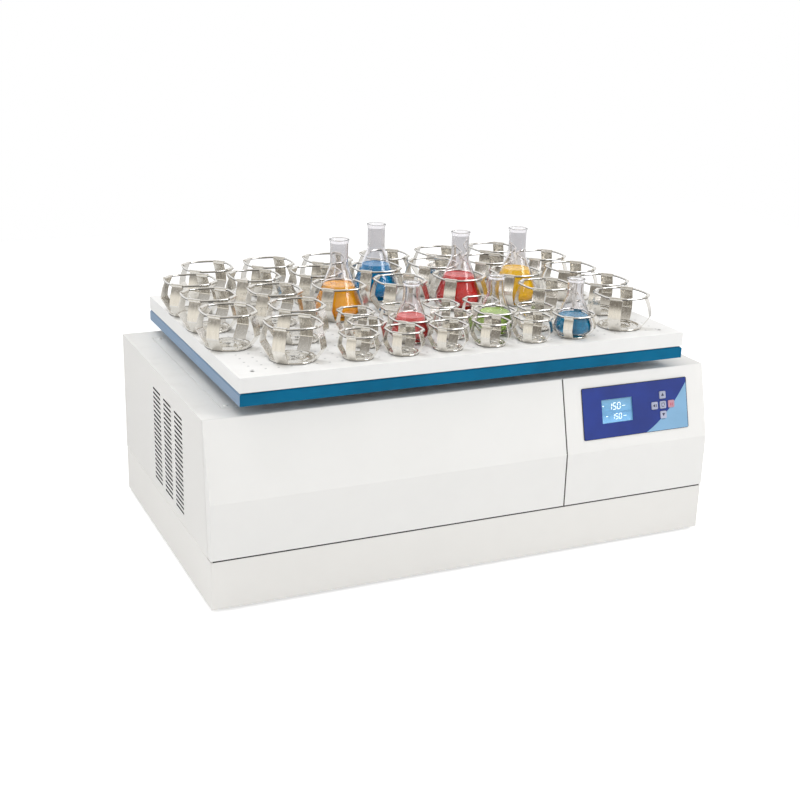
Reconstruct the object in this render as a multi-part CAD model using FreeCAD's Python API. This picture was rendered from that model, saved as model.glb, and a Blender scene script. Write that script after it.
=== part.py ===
import FreeCAD, Part
import math
import os
from FreeCAD import Placement, Rotation, Vector

# Laboratory platform shaker, millimetres. +X right, -Y to the front, +Z up.
# The origin lies on the bench, in the middle of the outline seen from above.

# Housing
body_width = 1040.0
body_depth = 620.0
foot_height = 8.0
base_height = 91.0
housing_height = 342.0
crease_height = 199.0
fascia_setback = 37.0
sheet = 1.5
pan_sheet = 2.0
seam_gap = 3.0
joint_gap = 1.5
corner_radius = 3.0
overcut = 1.0
tolerance = 0.01
flange_width = 18.0
lip_inset = 8.0
side_edge_low = 18.0
side_edge_high = 41.0

# Levelling feet
foot_radius = 20.0
foot_inset = 60.0
foot_bevel = 3.0

# Deck on top of the housing
deck_rim_side = 50.0
deck_rim_front = 48.0
deck_rim_back = 52.0
deck_ledge = 15.0
ledge_overlap = 2.0
deck_screw_radius = 4.0
deck_screw_height = 2.0
deck_screw_inset = 12.0
deck_screw_taper = 1.0
seal_width = 4.0
seal_height = 3.0

# Louvres in both side walls
louvre_columns = 3
louvre_rows = 21
louvre_width = 52.0
louvre_height = 4.0
louvre_pitch = 9.15
louvre_column_pitch = 76.0
louvre_first_y = -122.0
louvre_first_height = 117.0

# Front fascia, split by an upright joint
fascia_split = 193.5
fascia_sheet = 2.0

# Control panel on the slope of the right fascia
panel_left = 233.0
panel_width = 245.0
panel_low = 23.0
panel_height = 102.0
panel_thickness = 1.5
panel_corner = 3.0
key_window_margin = 3.0
display_left = 277.0
display_low = 51.8
display_width = 71.0
display_height = 46.5
window_margin = 3.0
lcd_margin = 5.0
lcd_depth = 8.0
board_thickness = 1.6
board_margin = 10.0
standoff_radius = 3.5
key_x = 419.0
key_up_slope = 74.4
key_pitch = 19.8
key_size = 14.4
key_corner = 2.0
key_clearance = 0.3
key_proud = 1.4
key_depth = 5.0
key_travel = 1.0
switch_size = 8.0

# Tray and its frame
tray_width = 914.0
tray_depth = 610.0
tray_front_inset = 24.0
tray_sheet = 2.0
rim_height = 27.0
shadow_gap = 2.0
rail_height = 22.0
rail_width = 24.0
rail_edge = 3.0
deck_clearance = 22.0
tray_hole_radius = 4.5
tray_hole_inset_x = 34.0
tray_hole_inset_y = 34.0
stiffener_width = 24.0
stiffener_count = 4
carrier_sheet = 6.0
boss_wall = 6.0
boss_lip = 2.0

# Orbital drive
orbit_radius = 13.0
plate_width = 760.0
plate_depth = 440.0
plate_thickness = 8.0
plate_height = 192.0
plate_corner = 30.0
column_radius = 14.0
column_inset = 40.0
shaft_radius = 15.0
drive_pin_radius = 12.0
main_housing_radius = 40.0
main_flange_radius = 62.0
main_bearing_radius = 27.0
main_bearing_width = 16.0
idler_shaft_radius = 10.0
idler_pin_radius = 10.0
idler_housing_radius = 26.0
idler_flange_radius = 40.0
idler_bearing_radius = 17.5
idler_bearing_width = 12.0
idler_span_x = 300.0
idler_span_y = 170.0
bearing_housing_height = 77.0
flange_thickness = 10.0
flange_fillet = 2.0
bearing_recess = 2.0
running_clearance = 0.05
shaft_end = 2.0
crank_gap = 3.0
crank_thickness = 13.0
crank_disc_radius = 40.0
crank_wall = 8.0
crank_nose = 6.0
counterweight_radius = 105.0
counterweight_thickness = 18.0
deck_opening_margin = 8.0
tray_bearing_wall = 8.0
tray_bearing_width = 16.0

# Motor and belt
motor_distance = 230.0
motor_radius = 48.0
motor_length = 118.0
motor_shaft_radius = 7.0
motor_shaft_gap = 0.1
motor_step = 4.0
motor_head = 16.0
motor_socket = 8.0
motor_bracket_corner = 6.0
motor_bracket_size = 134.0
motor_bracket_thickness = 6.0
motor_post_radius = 6.0
motor_post_inset = 11.0
drive_pulley_radius = 75.0
motor_pulley_radius = 25.0
pulley_width = 22.0
pulley_gap = 8.0
pulley_hub_wall = 12.0
pulley_rim = 10.0
pulley_flange = 5.0
pulley_flange_thickness = 2.0
belt_thickness = 3.0
belt_clearance = 0.3
belt_side_gap = 1.0

# Controller box, mains inlet and switch
controller_width = 170.0
controller_depth = 120.0
controller_height = 70.0
controller_x = -300.0
inlet_x = -380.0
inlet_width = 48.0
inlet_height = 28.0
inlet_depth = 22.0
inlet_flange = 5.0
inlet_flange_thickness = 2.5
inlet_wall = 3.0
inlet_pin_width = 4.0
inlet_pin_depth = 2.0
inlet_pin_length = 16.0
inlet_pin_pitch = 11.0
inlet_pin_rise = 3.0
switch_gap = 34.0
switch_width = 22.0
switch_height = 28.0
switch_depth = 14.0
rocker_clearance = 1.0
rocker_angle = 9.0
rocker_pivot_depth = 4.0
rocker_pin_radius = 1.5
rocker_pin_clearance = 0.1
rear_part_height = 46.0

# Flask clamps
large_pitch_x = 134.0
large_pitch_y = 125.0
large_back_step = 106.0
large_columns = 7
large_left_inset = 43.0
large_front_inset = 200.0
front_pair_left_inset = 127.0
front_pair_right_inset = 95.0
front_pair_inset = 84.0
small_pitch_x = 90.0
small_first_x = -216.0
small_front_inset = 53.0
small_step_y = 70.0
small_third_shift = 11.0
small_third_step = 78.0
clamp_sheet = 1.5
clamp_plate = 3.0
wire = 3.0
ring_bow = 1.0
leg_foot_inset = 3.0
low_bend_share = 0.38
high_bend_share = 0.62
low_bend_inset = 2.0
base_taper = 2.0
large_base_radius = 44.0
large_bulge_radius = 60.0
large_ring_radius = 51.5
large_ring_height = 69.0
large_leg_width = 25.0
small_base_radius = 29.0
small_bulge_radius = 37.0
small_ring_radius = 34.0
small_ring_height = 47.0
small_leg_width = 18.0
small_spread = 5.5
clamp_screw_radius = 4.0
clamp_screw_head = 2.5

# Flasks standing in the clamps
flask_wall = 2.0
flask_seat_gap = 0.2
large_flask_radius = 48.0
large_flask_height = 153.0
large_neck_radius = 18.0
large_flask_heel = 20.0
small_flask_radius = 37.0
small_flask_height = 108.0
small_neck_radius = 15.5
small_flask_heel = 17.0
flask_taper = 21.3
flask_rim = 2.0
flask_rim_height = 6.0
flask_lip_height = 2.0
flask_shoulder = 40.0

# Levels and lines that follow from the sizes above
overall_depth = max(body_depth, tray_front_inset + tray_depth)
y_front = -overall_depth / 2
y_back = y_front + body_depth
x_side = body_width / 2
z_base = foot_height
z_seam = z_base + base_height
z_panel = z_seam + seam_gap
z_crease = z_base + crease_height
z_deck = z_base + housing_height
z_rail = z_deck + deck_clearance
z_rail_top = z_rail + rail_height
z_rim = z_rail_top + shadow_gap
z_tray = z_rim + rim_height
y_deck = y_front + fascia_setback
y_tray_front = y_front + tray_front_inset
y_tray_back = y_tray_front + tray_depth
y_tray = (y_tray_front + y_tray_back) / 2
y_axis = y_tray - orbit_radius
z_plate = z_base + plate_height
z_plate_top = z_plate + plate_thickness
z_housing_top = z_plate_top + bearing_housing_height
z_crank = z_housing_top + crank_gap
z_crank_top = z_crank + crank_thickness
z_carrier = z_rail_top - carrier_sheet
z_pulley_top = z_plate - pulley_gap
z_pulley = z_pulley_top - pulley_width
z_bracket_top = z_pulley - pulley_gap
z_bracket = z_bracket_top - motor_bracket_thickness
deck_opening_radius = orbit_radius + drive_pin_radius + deck_opening_margin
slope_rise = z_deck - z_crease
slope_angle = math.degrees(math.atan2(slope_rise, fascia_setback))


def box(x0, x1, y0, y1, z0, z1):
    return Part.makeBox(x1 - x0, y1 - y0, z1 - z0, Vector(x0, y0, z0))


def cylinder(x, y, z0, z1, radius):
    return Part.makeCylinder(radius, z1 - z0, Vector(x, y, z0))


def tube(x, y, z0, z1, outer, inner):
    return cylinder(x, y, z0, z1, outer).cut(cylinder(x, y, z0, z1, inner))


def prism(points, direction):
    """Closed polygon through the points, swept along the direction."""
    wire_loop = Part.makePolygon(points + [points[0]])
    return Part.Face(wire_loop).extrude(direction)


def side_prism(outline, x0, x1):
    """Outline of (y, z) pairs, swept from x0 to x1."""
    return prism([Vector(x0, y, z) for y, z in outline], Vector(x1 - x0, 0, 0))


def plan_prism(outline, z0, z1):
    """Outline of (x, y) pairs, swept from z0 to z1."""
    return prism([Vector(x, y, z0) for x, y in outline], Vector(0, 0, z1 - z0))


def turned(outline, x=0.0, y=0.0, z=0.0):
    """Outline of (radius, height) pairs, turned about an upright axis."""
    points = [Vector(r, 0, h) for r, h in outline]
    face = Part.Face(Part.makePolygon(points + [points[0]]))
    solid = face.revolve(Vector(0, 0, 0), Vector(0, 0, 1), 360)
    solid.translate(Vector(x, y, z))
    return solid


def rounded_box(x0, x1, y0, y1, z0, z1, radius):
    """Box with its upright edges rounded."""
    solid = box(x0, x1, y0, y1, z0, z1)
    upright = [e for e in solid.Edges if abs(e.Vertexes[0].X - e.Vertexes[1].X) < 0.01
               and abs(e.Vertexes[0].Y - e.Vertexes[1].Y) < 0.01]
    return solid.makeFillet(radius, upright)


def belt_loop(x0, radius0, x1, radius1, y, z0, z1):
    """Solid bounded by two circles on one line along X and their outer tangents."""
    reach = x1 - x0
    lean = math.acos((radius0 - radius1) / reach)

    def at(x, radius, angle):
        return Vector(x + radius * math.cos(angle), y + radius * math.sin(angle), z0)

    edges = [
        Part.Arc(at(x0, radius0, lean), at(x0, radius0, math.pi), at(x0, radius0, -lean)).toShape(),
        Part.makeLine(at(x0, radius0, -lean), at(x1, radius1, -lean)),
        Part.Arc(at(x1, radius1, -lean), at(x1, radius1, 0), at(x1, radius1, lean)).toShape(),
        Part.makeLine(at(x1, radius1, lean), at(x0, radius0, lean)),
    ]
    return Part.Face(Part.Wire(edges)).extrude(Vector(0, 0, z1 - z0))


def on_slope(shape):
    """Move a shape from flat panel axes (across, up the slope, outward) to the fascia."""
    shape.Placement = Placement(Vector(0, y_front, z_crease), Rotation(Vector(1, 0, 0), slope_angle))
    return shape


def save(name, *solids):
    """Write one node, made of one or more separate solids."""
    shape = solids[0] if len(solids) == 1 else Part.makeCompound(list(solids))
    shape.exportStep(os.path.join("parts", name + ".step"))


# Housing

def base_pan():
    """Folded pan with an inward flange that the upper panels stand on."""
    pan = rounded_box(-x_side, x_side, y_front, y_back, z_base, z_seam, corner_radius)
    hollow = box(-x_side + pan_sheet, x_side - pan_sheet, y_front + pan_sheet, y_back - pan_sheet,
                 z_base + pan_sheet, z_seam - pan_sheet)
    mouth = box(-x_side + flange_width, x_side - flange_width, y_front + flange_width,
                y_back - flange_width, z_seam - pan_sheet, z_seam)
    pan = pan.cut(hollow).cut(mouth)
    return pan.cut(rear_openings(pan_sheet))


def feet():
    """Rubber feet with a bevelled tread, one under each corner."""
    outline = [(0, 0), (foot_radius - foot_bevel, 0), (foot_radius, foot_bevel), (foot_radius, foot_height),
               (0, foot_height)]
    x = x_side - foot_inset
    return [turned(outline, side * x, y) for side in (-1, 1)
            for y in (y_front + foot_inset, y_back - foot_inset)]


def side_edge(z):
    """Front edge of the side walls, leaning back from the base to the deck."""
    share = (z - z_panel) / (z_deck - z_panel)
    return y_front + side_edge_low + share * (side_edge_high - side_edge_low)


def louvre_slots(x0, x1):
    slots = []
    for column in range(louvre_columns):
        y = louvre_first_y + column * louvre_column_pitch
        for row in range(louvre_rows):
            z = z_base + louvre_first_height + row * louvre_pitch
            slots.append(box(x0, x1, y - louvre_width / 2, y + louvre_width / 2,
                             z - louvre_height / 2, z + louvre_height / 2))
    return Part.makeCompound(slots)


def deck_bounds(margin):
    """Plan of the deck opening, grown by the margin."""
    return (-x_side + deck_rim_side - margin, x_side - deck_rim_side + margin,
            side_edge(z_deck) + joint_gap + deck_rim_front - margin, y_back - deck_rim_back + margin)


def housing_shell():
    """Side and rear walls in one wrap, with the rims that carry the deck cover."""
    side = [(side_edge(z_panel), z_panel), (side_edge(z_deck), z_deck), (y_back, z_deck), (y_back, z_panel)]
    shell = side_prism(side, -x_side, x_side)
    inside = x_side - sheet
    shell = shell.cut(box(-inside, inside, y_front - overcut, y_back - sheet, 0, z_deck - sheet))
    ledge_z = z_deck - sheet
    x0, x1, y0, y1 = deck_bounds(ledge_overlap)
    ledge = box(x0, x1, y0, y1, ledge_z - sheet, ledge_z)
    x0, x1, y0, y1 = deck_bounds(-deck_ledge)
    ledge = ledge.cut(box(x0, x1, y0, y1, 0, z_deck))
    shell = shell.fuse(ledge)
    x0, x1, y0, y1 = deck_bounds(0)
    shell = shell.cut(box(x0, x1, y0, y1, ledge_z, z_deck))
    shell = shell.fuse(shell_lip())
    shell = shell.cut(louvre_slots(-x_side - overcut, -x_side + sheet + overcut))
    shell = shell.cut(louvre_slots(x_side - sheet - overcut, x_side + overcut))
    return shell.removeSplitter()


def shell_lip():
    """Return flange and foot lip along the lower edge of the side and rear walls."""
    y0 = side_edge(z_panel) + lip_inset
    flange = box(-x_side + sheet, x_side - sheet, y0, y_back - sheet, z_panel, z_panel + sheet)
    inner = lip_inset + sheet
    hollow = box(-x_side + inner, x_side - inner, y0, y_back - inner, 0, z_deck)
    lip = box(-x_side + lip_inset, x_side - lip_inset, y0, y_back - lip_inset, z_seam, z_panel)
    return flange.fuse(lip).cut(hollow)


def crank_axes():
    """Axes of the driven crank and of the four idler cranks."""
    corners = [(sx * idler_span_x, y_axis + sy * idler_span_y) for sx in (-1, 1) for sy in (-1, 1)]
    return [(0.0, y_axis)] + corners


def deck_cover():
    """Flush cover with one opening for each crank pin."""
    x0, x1, y0, y1 = deck_bounds(-joint_gap)
    cover = box(x0, x1, y0, y1, z_deck - sheet, z_deck)
    holes = [cylinder(x, y, 0, z_deck + overcut, deck_opening_radius) for x, y in crank_axes()]
    return cover.cut(Part.makeCompound(holes))


def deck_screws():
    x0, x1, y0, y1 = deck_bounds(-deck_screw_inset)
    head = deck_screw_radius - deck_screw_taper
    return [Part.makeCone(deck_screw_radius, head, deck_screw_height, Vector(x, y, z_deck))
            for x in (x0, x1) for y in (y0, y1)]


def pin_seals():
    """Rubber collars around the deck openings."""
    outer = deck_opening_radius + seal_width
    return [tube(x, y, z_deck, z_deck + seal_height, outer, deck_opening_radius) for x, y in crank_axes()]


def fascia(x0, x1):
    """Folded front panel: upright below the crease, leaning back above it, open behind."""
    t = fascia_sheet
    slope = math.radians(slope_angle)
    turn = t * math.tan((math.pi / 2 - slope) / 2)
    top_shift = t / math.sin(slope) - t / math.tan(slope)
    outline = [(y_front, z_panel), (y_front, z_crease), (y_deck, z_deck),
               (side_edge(z_deck) - joint_gap, z_deck), (side_edge(z_panel) - joint_gap, z_panel)]
    inner = [(y_front + t, z_panel + t), (y_front + t, z_crease - turn),
             (y_deck + top_shift, z_deck - t), (y_back, z_deck - t), (y_back, z_panel + t)]
    panel = side_prism(outline, x0, x1).cut(side_prism(inner, x0 + t, x1 - t))
    y_lip = y_front + lip_inset
    lip = box(x0 + lip_inset, x1 - lip_inset, y_lip, y_lip + t, z_seam, z_panel + t)
    return panel.fuse(lip).removeSplitter()


def fascia_main():
    return fascia(-x_side, fascia_split - joint_gap)


def panel_box(x0, x1, up0, up1, out0, out1):
    """Box in panel axes: across, up the slope, outward from the fascia."""
    return on_slope(box(x0, x1, up0, up1, out0, out1))


def key_places():
    return {
        "key_up": (key_x, key_up_slope + key_pitch),
        "key_down": (key_x, key_up_slope - key_pitch),
        "key_left": (key_x - key_pitch, key_up_slope),
        "key_right": (key_x + key_pitch, key_up_slope),
        "key_centre": (key_x, key_up_slope),
    }


def fascia_control():
    """Right-hand fascia with the cut-outs behind the display and the keys."""
    panel = fascia(fascia_split + joint_gap, x_side)
    m = window_margin + key_clearance
    window = panel_box(display_left - m, display_left + display_width + m, display_low - m,
                       display_low + display_height + m, -fascia_sheet - overcut, overcut)
    reach = key_pitch + key_size / 2 + key_window_margin
    keys = panel_box(key_x - reach, key_x + reach, key_up_slope - reach, key_up_slope + reach,
                     -fascia_sheet - overcut, overcut)
    return panel.cut(window).cut(keys)


def control_overlay():
    """Coloured front plate with openings for the display and the five keys."""
    plate = rounded_box(panel_left, panel_left + panel_width, panel_low, panel_low + panel_height,
                        0, panel_thickness, panel_corner)
    plate = plate.cut(box(display_left, display_left + display_width, display_low,
                          display_low + display_height, -overcut, panel_thickness + overcut))
    half = key_size / 2 + key_clearance
    z0, z1 = -overcut, panel_thickness + overcut
    for x, up in key_places().values():
        plate = plate.cut(rounded_box(x - half, x + half, up - half, up + half, z0, z1, key_corner))
    return on_slope(plate)


def display_window():
    """Clear window held behind the front plate."""
    m = window_margin
    return panel_box(display_left - m, display_left + display_width + m, display_low - m,
                     display_low + display_height + m, -fascia_sheet, 0)


def display_module():
    m = window_margin + lcd_margin
    return panel_box(display_left - m, display_left + display_width + m, display_low - m,
                     display_low + display_height + m, -fascia_sheet - lcd_depth, -fascia_sheet)


def control_board():
    """Circuit board with stand-offs to the fascia and a switch behind each key."""
    top = -fascia_sheet - lcd_depth
    x0 = display_left - board_margin
    x1 = key_x + key_pitch + key_size + board_margin
    up0 = key_up_slope - panel_height / 2 + board_margin / 2
    up1 = key_up_slope + panel_height / 2 - board_margin / 2
    board = box(x0, x1, up0, up1, top - board_thickness, top)
    for x in (x0 + standoff_radius, x1 - standoff_radius):
        for up in (up0 + standoff_radius, up1 - standoff_radius):
            board = board.fuse(Part.makeCylinder(standoff_radius, lcd_depth, Vector(x, up, top)))
    half = switch_size / 2
    head = panel_thickness + key_proud - key_depth - key_travel - key_clearance
    for x, up in key_places().values():
        board = board.fuse(box(x - half, x + half, up - half, up + half, top, head))
    return on_slope(board)


def key(x, up):
    """Square key cap with rounded corners."""
    half = key_size / 2
    top = panel_thickness + key_proud
    return on_slope(rounded_box(x - half, x + half, up - half, up + half, top - key_depth, top, key_corner))


# Rear of the base: mains inlet and rocker switch

def switch_x():
    return inlet_x + inlet_width / 2 + switch_gap


def rear_box(x, width, height, y0, y1, margin):
    z = z_base + rear_part_height
    return box(x - width / 2 - margin, x + width / 2 + margin, y0, y1,
               z - height / 2 - margin, z + height / 2 + margin)


def rear_openings(wall):
    """Holes in the rear wall of the pan for the inlet and the switch."""
    y0 = y_back - wall - overcut
    y1 = y_back + overcut
    return rear_box(inlet_x, inlet_width, inlet_height, y0, y1, 0).fuse(
        rear_box(switch_x(), switch_width, switch_height, y0, y1, 0))


def mains_inlet():
    """Three-pin appliance inlet with a flange on the rear wall."""
    y1 = y_back + inlet_flange_thickness
    body = rear_box(inlet_x, inlet_width, inlet_height, y1 - inlet_depth - inlet_wall, y1, 0)
    body = body.fuse(rear_box(inlet_x, inlet_width, inlet_height, y_back, y1, inlet_flange))
    cavity = rear_box(inlet_x, inlet_width, inlet_height, y1 - inlet_depth, y1 + overcut, -inlet_wall)
    body = body.cut(cavity)
    z = z_base + rear_part_height
    y0 = y1 - inlet_depth
    for i in (-1, 0, 1):
        x = inlet_x + i * inlet_pin_pitch
        rise = inlet_pin_rise if i == 0 else -inlet_pin_rise
        pin = box(x - inlet_pin_depth / 2, x + inlet_pin_depth / 2, y0, y0 + inlet_pin_length,
                  z + rise - inlet_pin_width / 2, z + rise + inlet_pin_width / 2)
        body = body.fuse(pin)
    return body


def switch_frame():
    """Frame of the power switch, open at the back of the wall."""
    y1 = y_back + inlet_flange_thickness
    frame = rear_box(switch_x(), switch_width, switch_height, y_back - switch_depth, y1, 0)
    frame = frame.fuse(rear_box(switch_x(), switch_width, switch_height, y_back, y1, inlet_flange / 2))
    return frame.cut(rear_box(switch_x(), switch_width, switch_height,
                              y_back - switch_depth + inlet_wall, y1 + 1, -inlet_wall))


def power_rocker():
    """Rocker with two slanted faces and a pivot pin along X, tipped to its off side."""
    z = z_base + rear_part_height
    half = switch_height / 2 - inlet_wall - rocker_clearance
    rise = half * math.tan(math.radians(rocker_angle))
    face = y_back + inlet_flange_thickness
    pivot = face - rocker_pivot_depth
    root = y_back - switch_depth + inlet_wall + rocker_clearance + rise
    outline = [(root, z - half / 2), (face - rise, z - half), (face + rise, z - half),
               (face, z), (face + rise, z + half), (face - rise, z + half), (root, z + half / 2)]
    width = switch_width / 2 - inlet_wall - rocker_clearance
    rocker = side_prism(outline, switch_x() - width, switch_x() + width)
    reach = switch_width / 2 - inlet_wall - rocker_pin_clearance
    pin = Part.makeCylinder(rocker_pin_radius, 2 * reach, Vector(switch_x() - reach, pivot, z),
                            Vector(1, 0, 0))
    rocker = rocker.fuse(pin)
    rocker.rotate(Vector(0, pivot, z), Vector(1, 0, 0), -rocker_angle)
    return rocker


def drive_controller():
    """Closed box of the power supply and motor driver, on the pan floor."""
    z = z_base + pan_sheet
    y = y_axis
    return rounded_box(controller_x - controller_width / 2, controller_x + controller_width / 2,
                       y - controller_depth / 2, y + controller_depth / 2, z, z + controller_height,
                       corner_radius)


# Orbital drive

def mechanism_plate():
    """Steel plate that carries the five bearing housings."""
    plate = rounded_box(-plate_width / 2, plate_width / 2, y_axis - plate_depth / 2,
                        y_axis + plate_depth / 2, z_plate, z_plate_top, plate_corner)
    return plate.cut(cylinder(0, y_axis, 0, z_deck, main_bearing_radius))


def support_columns():
    """Columns between the pan floor and the mechanism plate."""
    x = plate_width / 2 - column_inset
    y = plate_depth / 2 - column_inset
    return [cylinder(sx * x, y_axis + sy * y, z_base + pan_sheet, z_plate, column_radius)
            for sx in (-1, 1) for sy in (-1, 1)]


def bearing_housing(x, y, radius, flange_radius, bore):
    outline = [(bore, 0), (flange_radius, 0), (flange_radius, flange_thickness),
               (radius, flange_thickness + flange_fillet), (radius, bearing_housing_height),
               (bore, bearing_housing_height)]
    return turned(outline, x, y, z_plate_top)


def bearing_pair(x, y, outer, inner, width):
    """Two bearing rings, near the foot and at the head of a housing."""
    low = z_plate_top + flange_thickness / 2
    high = z_housing_top - bearing_recess - width
    return [tube(x, y, z, z + width, outer, inner) for z in (low, high)]


def drive_shaft():
    """Vertical shaft, crank disc and eccentric pin in one turned piece."""
    shaft = cylinder(0, y_axis, z_pulley - shaft_end, z_crank, shaft_radius - running_clearance)
    disc = cylinder(0, y_axis, z_crank, z_crank_top, crank_disc_radius)
    pin = cylinder(0, y_tray, z_crank_top, z_carrier - shaft_end, drive_pin_radius)
    return shaft.fuse(disc).fuse(pin)


def drive_pulley():
    bore = shaft_radius - running_clearance
    hub = shaft_radius + pulley_hub_wall
    web = pulley_width / 3
    rim = drive_pulley_radius - pulley_rim
    outline = [(bore, 0), (hub, 0), (hub, web), (rim, web), (rim, 0), (drive_pulley_radius, 0),
               (drive_pulley_radius, pulley_width), (rim, pulley_width), (rim, 2 * web),
               (hub, 2 * web), (hub, pulley_width), (bore, pulley_width)]
    return turned(outline, 0, y_axis, z_pulley)


def counterweight():
    """Half disc bolted on the crank, opposite to the pin."""
    disc = cylinder(0, y_axis, z_crank_top, z_crank_top + counterweight_thickness, counterweight_radius)
    edge = y_tray - drive_pin_radius - crank_gap
    r = counterweight_radius + overcut
    z_top = z_crank_top + counterweight_thickness
    return disc.cut(box(-r, r, edge, y_axis + r, z_crank_top - overcut, z_top + overcut))


def idler_crank(x, y):
    """Idler shaft, crank web and pin in one piece."""
    shaft = cylinder(x, y, z_plate_top + shaft_end, z_crank, idler_shaft_radius - running_clearance)
    web = belt_loop(0, idler_shaft_radius + crank_wall, orbit_radius, idler_pin_radius + crank_nose,
                    0, 0, crank_thickness)
    web.rotate(Vector(0, 0, 0), Vector(0, 0, 1), 90)
    web.translate(Vector(x, y, z_crank))
    pin = cylinder(x, y + orbit_radius, z_crank_top, z_carrier - shaft_end, idler_pin_radius)
    return shaft.fuse(web).fuse(pin)


def motor_body():
    """Brushless motor: a flanged head, a slimmer can and a bevelled foot."""
    low = z_bracket - motor_length
    socket = motor_shaft_radius + motor_shaft_gap
    can = motor_radius - motor_step
    outline = [(0, low), (can - motor_step, low), (can, low + motor_step),
               (can, z_bracket - motor_head), (motor_radius, z_bracket - motor_head),
               (motor_radius, z_bracket), (socket, z_bracket), (socket, z_bracket - motor_socket),
               (0, z_bracket - motor_socket)]
    return turned(outline, motor_distance, y_axis)


def motor_bracket():
    """Plate over the motor, hung from the mechanism plate by four posts."""
    half = motor_bracket_size / 2
    x, y = motor_distance, y_axis
    plate = rounded_box(x - half, x + half, y - half, y + half, z_bracket, z_bracket_top,
                        motor_bracket_corner)
    plate = plate.cut(cylinder(x, y, z_bracket - overcut, z_bracket_top + overcut, motor_radius / 2))
    reach = half - motor_post_inset
    for sx in (-1, 1):
        for sy in (-1, 1):
            plate = plate.fuse(cylinder(x + sx * reach, y + sy * reach, z_bracket_top, z_plate,
                                        motor_post_radius))
    return plate


def motor_shaft():
    low = z_bracket - motor_socket + motor_shaft_gap
    return cylinder(motor_distance, y_axis, low, z_pulley_top + shaft_end, motor_shaft_radius)


def motor_pulley():
    """Small pulley with a flange above and below the belt."""
    r = motor_pulley_radius
    f = r + pulley_flange
    t = pulley_flange_thickness
    w = pulley_width
    outline = [(motor_shaft_radius, 0), (f, 0), (f, t), (r, t), (r, w - t), (f, w - t), (f, w),
               (motor_shaft_radius, w)]
    return turned(outline, motor_distance, y_axis, z_pulley)


def drive_belt():
    z0 = z_pulley + pulley_flange_thickness + belt_side_gap
    z1 = z_pulley_top - pulley_flange_thickness - belt_side_gap
    inner0 = drive_pulley_radius + belt_clearance
    inner1 = motor_pulley_radius + belt_clearance
    outer = belt_loop(0, inner0 + belt_thickness, motor_distance, inner1 + belt_thickness, y_axis, z0, z1)
    return outer.cut(belt_loop(0, inner0, motor_distance, inner1, y_axis, z0, z1))


# Tray

def pin_places():
    """Crank pins in the pose that is modelled, with their radii."""
    radii = [drive_pin_radius] + [idler_pin_radius] * 4
    return [(x, y + orbit_radius, r) for (x, y), r in zip(crank_axes(), radii)]


def bearing_outer(pin_radius):
    return pin_radius + running_clearance + tray_bearing_wall


def carrier_frame():
    """Plate inside the rails, with a bearing boss under it for each crank pin."""
    x = tray_width / 2 - rail_width
    plate = box(-x, x, y_tray_front + rail_width, y_tray_back - rail_width, z_carrier, z_rail_top)
    low = z_carrier - tray_bearing_width - boss_lip
    for px, py, r in pin_places():
        outer = bearing_outer(r)
        plate = plate.fuse(cylinder(px, py, low, z_carrier, outer + boss_wall))
        plate = plate.cut(cylinder(px, py, low - overcut, z_carrier, outer))
    return plate


def tray_bearings():
    return [tube(x, y, z_carrier - tray_bearing_width, z_carrier, bearing_outer(r), r + running_clearance)
            for x, y, r in pin_places()]


def edge_rails():
    """Four mitred bars around the carrier, their upper outer edge bevelled."""
    rails = []
    for turn in range(4):
        length, across = (tray_width, tray_depth) if turn % 2 == 0 else (tray_depth, tray_width)
        half, out = length / 2, across / 2
        outline = [(-half, -out), (half, -out), (half - rail_width, -out + rail_width),
                   (-half + rail_width, -out + rail_width)]
        bar = plan_prism(outline, z_rail, z_rail_top)
        edge = [(-out, z_rail_top - rail_edge), (-out, z_rail_top), (-out + rail_edge, z_rail_top)]
        bar = bar.cut(side_prism(edge, -half, half))
        bar.rotate(Vector(0, 0, 0), Vector(0, 0, 1), 90 * turn)
        bar.translate(Vector(0, y_tray, 0))
        rails.append(bar)
    return rails


def tray_plate():
    """Folded tray with a deep rim, stiffened underneath, one hole in each corner."""
    x = tray_width / 2
    tray = box(-x, x, y_tray_front, y_tray_back, z_rim, z_tray)
    t = tray_sheet
    tray = tray.cut(box(-x + t, x - t, y_tray_front + t, y_tray_back - t, z_rim - overcut, z_tray - t))
    pitch = tray_depth / stiffener_count
    for i in range(stiffener_count):
        y = y_tray_front + (i + 0.5) * pitch
        tray = tray.fuse(box(-x + rail_width, x - rail_width, y - stiffener_width / 2,
                             y + stiffener_width / 2, z_rail_top, z_tray - t))
    hx = x - tray_hole_inset_x
    hy = tray_depth / 2 - tray_hole_inset_y
    for sx in (-1, 1):
        for sy in (-1, 1):
            hole = cylinder(sx * hx, y_tray + sy * hy, z_rail_top, z_tray + overcut, tray_hole_radius)
            tray = tray.cut(hole)
    return tray


# Flask clamps

def large_places():
    """Rows of large clamps, from the front pair to the back row."""
    left = -tray_width / 2 + large_left_inset

    def row(first, count, y):
        return [(left + (first + i) * large_pitch_x, y) for i in range(count)]

    y1 = y_tray_front + large_front_inset
    y2 = y1 + large_pitch_y
    y3 = y2 + large_pitch_y
    y4 = y3 + large_back_step
    y_pair = y_tray_front + front_pair_inset
    pair = [(-tray_width / 2 + front_pair_left_inset, y_pair),
            (tray_width / 2 - front_pair_right_inset, y_pair)]
    return {
        "large_clamps_front": pair + row(0, 2, y1) + row(large_columns - 2, 2, y1),
        "large_clamps_middle": row(0, large_columns, y2),
        "large_clamps_rear": row(0, large_columns, y3),
        "large_clamps_back": row(0.5, large_columns - 1, y4),
    }


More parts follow.
